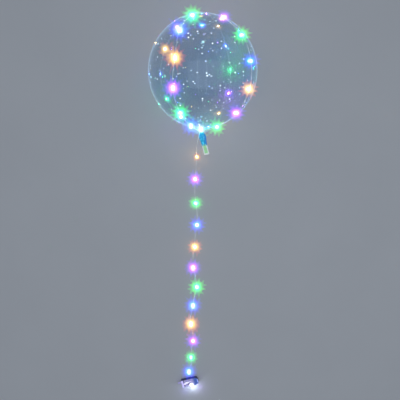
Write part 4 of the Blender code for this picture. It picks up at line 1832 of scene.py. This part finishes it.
    def dress_lid(self, lid: bpy.types.Object) -> None:
        """Join the grip bar and tab to the lid, and cut the switch slot, the grooves and the recess.

        Args:
            lid: The lid, which also gets the screw's head.
        """
        end = -self.length / 2
        top = self.lid_top
        grip_length, grip_width, grip_rise = self.grip
        x0 = end + self.grip_inset
        bar = bmesh.new()
        block_in(bar, (x0, -grip_width / 2, top - self.grip_root),
                 (x0 + grip_length, grip_width / 2, top + grip_rise), self.grip_edge)
        boolean(lid, bar, "UNION")
        middle = self.tray_height + TOUCH_GAP + self.lid_height / 2
        tab = bmesh.new()
        block_in(tab, (end - self.tab[0], self.tab_place - self.tab[1] / 2, middle - self.tab[2] / 2),
                 (end + self.wall / 2, self.tab_place + self.tab[1] / 2, middle + self.tab[2] / 2),
                 self.tab_edge)
        boolean(lid, tab, "UNION")
        x, y = self.switch_place
        half_x = self.knob[0] / 2 + TOUCH_GAP
        half_y = self.knob[1] / 2 + TOUCH_GAP
        cuts = bmesh.new()
        block_in(cuts, (x - half_x, y - half_y, top - 2 * self.wall),
                 (x + half_x + self.switch_travel, y + half_y, top + self.wall))
        for index in range(self.groove_count):
            groove = x0 + self.groove_start + self.groove_pitch * index
            block_in(cuts, (groove, -grip_width / 2 - self.cut_margin, top + grip_rise - self.groove_depth),
                     (groove + self.groove_width, grip_width / 2 + self.cut_margin,
                      top + grip_rise + self.cut_margin))
        recess = ((self.screw_radius, top - self.screw_depth), (self.screw_radius, top + self.cut_margin))
        turned(cuts, recess, self.screw_sides, self.screw_place)
        boolean(lid, cuts, "DIFFERENCE")
        self.add_screw(lid)

    def add_screw(self, lid: bpy.types.Object) -> None:
        """Add the screw's head, with a raised cross, in its recess as part of the lid.

        Args:
            lid: The lid.
        """
        floor = self.lid_top - self.screw_depth
        top = floor + self.head_rise
        radius = self.screw_radius * self.head_share
        head = bmesh.new()
        profile = ((radius, floor - self.head_root), (radius, floor + self.head_rim),
                   (radius * self.head_top_share, top))
        turned(head, profile, self.screw_sides, self.screw_place)
        arm = radius * self.cross_share
        half = self.cross_width / 2
        centre_x, centre_y = self.screw_place
        for x, y in ((arm, half), (half, arm)):
            block_in(head, (centre_x - x, centre_y - y, top),
                     (centre_x + x, centre_y + y, top + self.cross_rise))
        for face in head.faces:
            face.material_index = 1
        bmesh.ops.recalc_face_normals(head, faces=head.faces[:])
        mesh = bpy.data.meshes.new("screw_head")
        head.to_mesh(mesh)
        head.free()
        both = bmesh.new()
        both.from_mesh(lid.data)
        both.from_mesh(mesh)
        both.to_mesh(lid.data)
        both.free()

    def knob_mesh(self) -> bpy.types.Mesh:
        """Switch knob with ridges, and the flange that keeps it under the lid.

        Returns:
            The mesh.
        """
        x, y = self.switch_place
        under = self.lid_top - self.wall - TOUCH_GAP
        builder = bmesh.new()
        half_x, half_y = self.flange[0] / 2, self.flange[1] / 2
        block_in(builder, (x - half_x, y - half_y, under - self.flange[2]), (x + half_x, y + half_y, under),
                 self.fine_edge)
        half_x, half_y = self.knob[0] / 2, self.knob[1] / 2
        top = self.lid_top + self.knob[2]
        shoulder = top - self.ridge_rise
        block_in(builder, (x - half_x, y - half_y, under - self.knob_edge),
                 (x + half_x, y + half_y, shoulder), self.knob_edge)
        half_y -= self.knob_edge
        for index in range(self.ridge_count):
            ridge = x - half_x + self.ridge_start + self.ridge_pitch * index
            block_in(builder, (ridge, y - half_y, shoulder - self.ridge_root),
                     (ridge + self.ridge_width, y + half_y, top), self.fine_edge)
        return finish_mesh(builder, "switch_knob", self.knob_sharp_degrees)

    def lamp_mesh(self) -> bpy.types.Mesh:
        """Low dome of the lamp on its rim.

        Returns:
            The mesh.
        """
        base = self.lid_top + TOUCH_GAP
        top = base + self.lamp_rim
        outer = self.lamp_radius
        edge = self.fine_edge
        profile = [(outer - edge, base), (outer, base + edge), (outer, top - edge), (outer - edge, top)]
        for step in range(self.lamp_steps + 1):
            angle = self.lamp_dome_end * step / self.lamp_steps
            profile.append((outer * self.lamp_dome_share * math.cos(angle),
                            top + (self.lamp_height - self.lamp_rim) * math.sin(angle)))
        builder = bmesh.new()
        turned(builder, profile, self.lamp_sides, self.lamp_place)
        return finish_mesh(builder, "lamp_dome", self.turned_sharp_degrees)

    def gland_mesh(self) -> bpy.types.Mesh:
        """Tapered gland with grooves, along +Y from the case's side.

        Returns:
            The mesh.
        """
        profile = [(self.gland_base, 0.0), (self.gland_base, self.gland_collar)]
        pitch = (self.gland_length - self.gland_start) / self.gland_rings
        for step in range(self.gland_rings):
            start = self.gland_start + pitch * step
            end = self.gland_start + pitch * (step + self.gland_ring_share)
            radius = self.gland_base + (self.gland_tip - self.gland_base) * (step + 0.5) / self.gland_rings
            groove = radius - self.gland_groove
            profile.extend([(radius, start), (radius, end), (groove, end + self.gland_slope),
                            (groove, start + pitch - self.gland_slope)])
        builder = bmesh.new()
        turned(builder, profile, self.gland_sides)
        x, z = self.gland_place
        builder.transform(Matrix.Translation((x, self.width / 2 + TOUCH_GAP, z))
                          @ Matrix.Rotation(-math.pi / 2, 4, "X"))
        return finish_mesh(builder, "cord_gland", self.turned_sharp_degrees)


# Studio


@dataclass
class Studio:
    """Camera, floor, soft lights and the small lights that the string throws on its surroundings."""

    shape: BalloonShape
    picture_px: float = 400.0
    focal_px: float = 360.2
    sensor_width: float = 36.0
    camera_place: tuple[float, float, float] = (-0.0095, -0.159, 1.5587)
    camera_pitch: float = math.radians(-12.76)
    floor_place: tuple[float, float, float] = (0.0, -0.6, -0.0002)
    floor_reach: float = 6.0
    floor_cells: int = 8
    world_colour: Colour = (0.80, 0.88, 1.0)
    world_light: float = 0.31
    overhead_power: float = 8.5
    overhead_colour: Colour = (0.90, 0.95, 1.0)
    strip_power: float = 0.35
    strip_colour: Colour = (0.85, 0.93, 1.0)
    tether_spark: tuple[float, float] = (0.008, 0.002)
    tether_spark_rise: float = 0.011
    balloon_spark: tuple[float, float] = (0.020, 0.002)
    balloon_spark_rise: float = 0.006
    neck_spark: tuple[float, float] = (0.016, 0.004)
    neck_spark_offset: tuple[float, float, float] = (0.0, -0.016, 0.0)
    neck_spark_colour: Colour = (0.55, 1.0, 0.95)
    lamp_spark: tuple[float, float] = (0.045, 0.004)
    lamp_spark_place: tuple[float, float, float] = (0.0035, -0.037, 0.0238)
    lamp_spark_colour: Colour = (0.72, 0.86, 1.0)
    side_spark: tuple[float, float] = (0.009, 0.006)
    side_spark_x: float = 0.036
    side_spark_place: tuple[float, float] = (-0.050, 0.026)
    violet: Colour = (0.42, 0.18, 1.0)
    blue: Colour = (0.24, 0.18, 1.0)
    ray_gain: float = 3.8
    ray_cut: float = 0.20

    def add_camera(self) -> None:
        """Camera over the balloon, tipped towards the case."""
        data = bpy.data.cameras.new("camera")
        data.sensor_width = self.sensor_width
        data.lens = self.focal_px * self.sensor_width / self.picture_px
        camera = bpy.data.objects.new("camera", data)
        camera.location = self.camera_place
        camera.rotation_euler = (self.camera_pitch, 0.0, 0.0)
        bpy.context.scene.collection.objects.link(camera)
        bpy.context.scene.camera = camera

    def add_floor(self) -> None:
        """Plain pale floor."""
        builder = bmesh.new()
        bmesh.ops.create_grid(builder, x_segments=self.floor_cells, y_segments=self.floor_cells,
                              size=self.floor_reach)
        floor = add_object("floor", finish_mesh(builder, "floor"), (FloorFinish().build(),))
        floor.location = self.floor_place

    def add_area(self, name: str, place: Sequence[float], aim: Sequence[float], size: tuple[float, float],
                 power: float, colour: Colour) -> None:
        """Add a soft box.

        Args:
            name: Its name.
            place: Where it hangs.
            aim: Point that it faces.
            size: Its width and depth.
            power: Its power in watts.
            colour: Its colour.
        """
        data = bpy.data.lights.new(name, "AREA")
        data.shape = "RECTANGLE"
        data.size, data.size_y = size
        data.energy = power
        data.color = colour
        light = bpy.data.objects.new(name, data)
        light.location = place
        light.rotation_euler = (Vector(aim) - Vector(place)).to_track_quat("-Z", "Y").to_euler()
        bpy.context.scene.collection.objects.link(light)

    def add_spark(self, name: str, place: Vector, colour: Colour, spark: tuple[float, float]) -> None:
        """Add a small round light.

        Args:
            name: Its name.
            place: Its middle.
            colour: Its colour.
            spark: Its power in watts and its radius.
        """
        data = bpy.data.lights.new(name, "POINT")
        data.energy, data.shadow_soft_size = spark
        data.color = colour
        light = bpy.data.objects.new(name, data)
        light.location = place
        light.visible_camera = False
        bpy.context.scene.collection.objects.link(light)

    def add_sparks(self, case_pose: Matrix) -> None:
        """Light thrown by each drop on the string, the neck and the case's lamp.

        Args:
            case_pose: Where the case sits.
        """
        for number in range(1, TETHER_LIGHTS + 1):
            place = node_centre(f"tether_light_{number:02d}") + Vector((0.0, 0.0, self.tether_spark_rise))
            self.add_spark(f"tether_spark_{number:02d}", place, Hue.of(number).value, self.tether_spark)
        middle = self.shape.pose.translation
        for number in range(1, BALLOON_LIGHTS + 1):
            centre = node_centre(f"balloon_light_{number:02d}")
            place = centre + (centre - middle).normalized() * self.balloon_spark_rise
            self.add_spark(f"balloon_spark_{number:02d}", place, Hue.of(number).value, self.balloon_spark)
        neck = self.shape.neck_place(self.shape.neck_top) + Vector(self.neck_spark_offset)
        self.add_spark("neck_spark", self.shape.pose @ neck, self.neck_spark_colour, self.neck_spark)
        self.add_spark("lamp_spark", case_pose @ Vector(self.lamp_spark_place), self.lamp_spark_colour,
                       self.lamp_spark)
        for name, x, colour in (("violet_spark", self.side_spark_x, self.violet),
                                ("blue_spark", -self.side_spark_x, self.blue)):
            self.add_spark(name, case_pose @ Vector((x, *self.side_spark_place)), colour, self.side_spark)

    def add_lights(self) -> None:
        """Even soft light, and two long strips that draw faint upright lines on the film."""
        self.add_area("overhead", (0.25, -0.55, 2.6), (0.0, -0.55, 0.0), (2.6, 3.4),
                      self.overhead_power, self.overhead_colour)
        for name, x in (("strip_left", -0.34), ("strip_right", 0.26)):
            self.add_area(name, (x, -0.5, 2.2), (x, -0.5, 0.0), (0.05, 3.2), self.strip_power,
                          self.strip_colour)
        world = bpy.data.worlds.new("studio")
        world.use_nodes = True
        background = world.node_tree.nodes["Background"]
        background.inputs["Color"].default_value = (*self.world_colour, 1.0)
        background.inputs["Strength"].default_value = self.world_light
        bpy.context.scene.world = world

    def add_lens(self) -> None:
        """Camera lens that draws fine points and a halo round each bright light.

        The rays are made stronger and then cut by a small amount, which leaves short crisp points.
        """
        scene = bpy.context.scene
        scene.view_settings.view_transform = "Standard"
        scene.use_nodes = True
        tree = scene.node_tree
        tree.nodes.clear()
        picture = tree.nodes.new("CompositorNodeRLayers").outputs["Image"]
        halo = self.add_glare(tree, picture, "BLOOM", {
            "Threshold": 2.5, "Clamp": True, "Maximum": 16.0, "Strength": 0.16, "Size": 0.08,
            "Saturation": 1.0})
        star = self.add_glare(tree, picture, "STREAKS", {
            "Threshold": 3.0, "Clamp": True, "Maximum": 7.0, "Strength": 1.0, "Streaks": 12,
            "Iterations": 2, "Fade": 0.60, "Streaks Angle": math.radians(11.0), "Color Modulation": 0.0})
        gain = (self.ray_gain, self.ray_gain, self.ray_gain, 1.0)
        rays = self.add_mix(tree, "MULTIPLY", star.outputs["Glare"], gain)
        cut = (self.ray_cut, self.ray_cut, self.ray_cut, 0.0)
        points = self.add_mix(tree, "SUBTRACT", rays.outputs["Image"], cut)
        points.use_clamp = True
        total = self.add_mix(tree, "ADD", halo.outputs["Image"], points.outputs["Image"])
        output = tree.nodes.new("CompositorNodeComposite")
        tree.links.new(total.outputs["Image"], output.inputs["Image"])

    @staticmethod
    def add_glare(tree: bpy.types.NodeTree, picture: bpy.types.NodeSocket, kind: str,
                  values: dict[str, float | bool]) -> bpy.types.Node:
        """Add a glare to the lens.

        Args:
            tree: The lens's nodes.
            picture: What the glare is drawn from.
            kind: Kind of glare.
            values: Values of its sockets, by name.

        Returns:
            The node.
        """
        glare = tree.nodes.new("CompositorNodeGlare")
        glare.glare_type = kind
        for name, value in values.items():
            glare.inputs[name].default_value = value
        tree.links.new(picture, glare.inputs["Image"])
        return glare

    @staticmethod
    def add_mix(tree: bpy.types.NodeTree, blend: str, first: bpy.types.NodeSocket,
                second: bpy.types.NodeSocket | tuple[float, float, float, float]) -> bpy.types.Node:
        """Add a mix of two pictures, or of a picture and a colour, to the lens.

        Args:
            tree: The lens's nodes.
            blend: Way of mixing.
            first: Picture.
            second: Picture or colour.

        Returns:
            The node.
        """
        mix = tree.nodes.new("CompositorNodeMixRGB")
        mix.blend_type = blend
        tree.links.new(first, mix.inputs[1])
        if isinstance(second, tuple):
            mix.inputs[2].default_value = second
        else:
            tree.links.new(second, mix.inputs[2])
        return mix


def film_glows(shape: BalloonShape) -> tuple[Glow, ...]:
    """Painted light on the film: a halo at each of its lights, wide glows between them, and painted
    reflections.

    Args:
        shape: The balloon's shape.

    Returns:
        The glows.
    """
    halo_reach = 0.028
    halo_strength = 0.8
    wide_cover = 0.6
    glows = []
    for number in range(1, BALLOON_LIGHTS + 1):
        centre = node_centre(f"balloon_light_{number:02d}")
        glows.append(Glow(centre, Hue.of(number).value, halo_reach, halo_strength))
    # Each glow: degrees from the crown, degrees round, reach, strength, colour
    wide = ((172.0, 10.0, 0.060, 0.7, (0.0, 0.75, 0.70)), (140.0, 9.0, 0.120, 0.24, (0.02, 0.55, 0.55)),
            (70.0, 40.0, 0.150, 0.26, (0.02, 0.48, 0.30)), (98.0, 50.0, 0.110, 0.26, (0.03, 0.16, 0.70)),
            (118.0, 36.0, 0.100, 0.24, (0.20, 0.10, 0.70)), (112.0, -38.0, 0.150, 0.16, (0.02, 0.34, 0.34)),
            (35.0, -38.0, 0.130, 0.18, (0.10, 0.12, 0.60)), (90.0, 0.0, 0.220, 0.14, (0.02, 0.06, 0.30)))
    for polar, azimuth, reach, strength, colour in wide:
        glows.append(Glow(shape.on_film(polar, azimuth), colour, reach, strength, wide_cover))
    # Painted reflections of the lights, as spots of emission on the film
    reflections = (
        (176.5, -40.0, 0.013, 2.6, (0.85, 1.0, 0.92)), (177.0, 60.0, 0.011, 1.6, (0.50, 1.0, 0.85)),
        (160.0, -3.0, 0.030, 0.5, (0.05, 0.80, 0.30)), (161.0, 22.0, 0.034, 0.6, (0.05, 0.25, 1.0)),
        (61.0, 0.0, 0.009, 1.3, (0.45, 1.0, 1.0)),
        (41.0, 2.0, 0.008, 0.8, (0.30, 0.80, 1.0)), (34.0, 3.0, 0.008, 0.7, (0.10, 0.70, 0.80)),
        (53.0, 1.0, 0.007, 0.7, (0.55, 0.50, 1.0)), (67.0, 26.0, 0.008, 0.8, (0.20, 0.90, 0.80)),
        (48.0, 52.0, 0.010, 1.0, (0.05, 0.80, 1.0)), (85.0, 60.0, 0.010, 1.2, (0.05, 1.0, 0.95)),
        (93.0, -65.0, 0.011, 1.0, (0.15, 0.75, 0.95)), (91.5, -39.0, 0.009, 0.9, (0.30, 1.0, 0.60)),
        (121.0, -66.0, 0.010, 1.2, (0.50, 1.0, 0.70)), (148.0, -55.0, 0.009, 1.0, (1.0, 0.75, 0.75)),
        (134.0, -2.0, 0.008, 0.9, (0.45, 0.90, 1.0)), (141.0, -4.0, 0.008, 0.8, (0.45, 0.90, 1.0)),
        (149.0, -7.0, 0.009, 1.4, (0.90, 1.0, 0.90)), (118.0, -25.0, 0.009, 0.6, (0.20, 0.50, 1.0)),
        (122.0, 60.0, 0.009, 1.2, (0.80, 0.70, 1.0)), (118.0, 58.0, 0.008, 0.8, (0.80, 0.80, 1.0)),
        (61.0, -67.0, 0.011, 1.8, (1.0, 0.62, 0.20)), (26.0, -4.0, 0.013, 2.0, (1.0, 0.72, 0.30)),
        (149.5, 47.0, 0.010, 1.6, (1.0, 0.85, 0.40)))
    for polar, azimuth, reach, strength, colour in reflections:
        glows.append(Glow(shape.on_film(polar, azimuth), colour, reach, strength))
    return tuple(glows)


def main() -> None:
    """Build the whole scene."""
    logging.basicConfig(level=logging.INFO, format="%(message)s")
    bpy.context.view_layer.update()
    shape = BalloonShape()
    studio = Studio(shape)
    studio.add_camera()
    string = LightString(shape, WirePair(), LightDrop())
    neck = shape.pose @ shape.neck_place(shape.neck_top)
    wire = WireFinish(neck).build()
    string.build_tether(wire)
    string.build_loops(wire)
    film = FilmFinish(film_glows(shape), neck).build()
    across = shape.pose.to_3x3() @ shape.tail_frame(0.0)[1]
    along = (shape.pose @ shape.tail_frame(shape.tail_length)[0] - neck).normalized()
    tail = TailFinish(neck, across, along, shape.tail_length).build()
    BalloonFilm(shape).build(film, tail)
    FillingSleeve(shape).build(SleeveFinish().build())
    case_pose = BatteryCase().build(string.tether_end)
    studio.add_floor()
    studio.add_lights()
    studio.add_sparks(case_pose)
    studio.add_lens()
    bpy.context.view_layer.update()


if __name__ == "__main__":
    main()
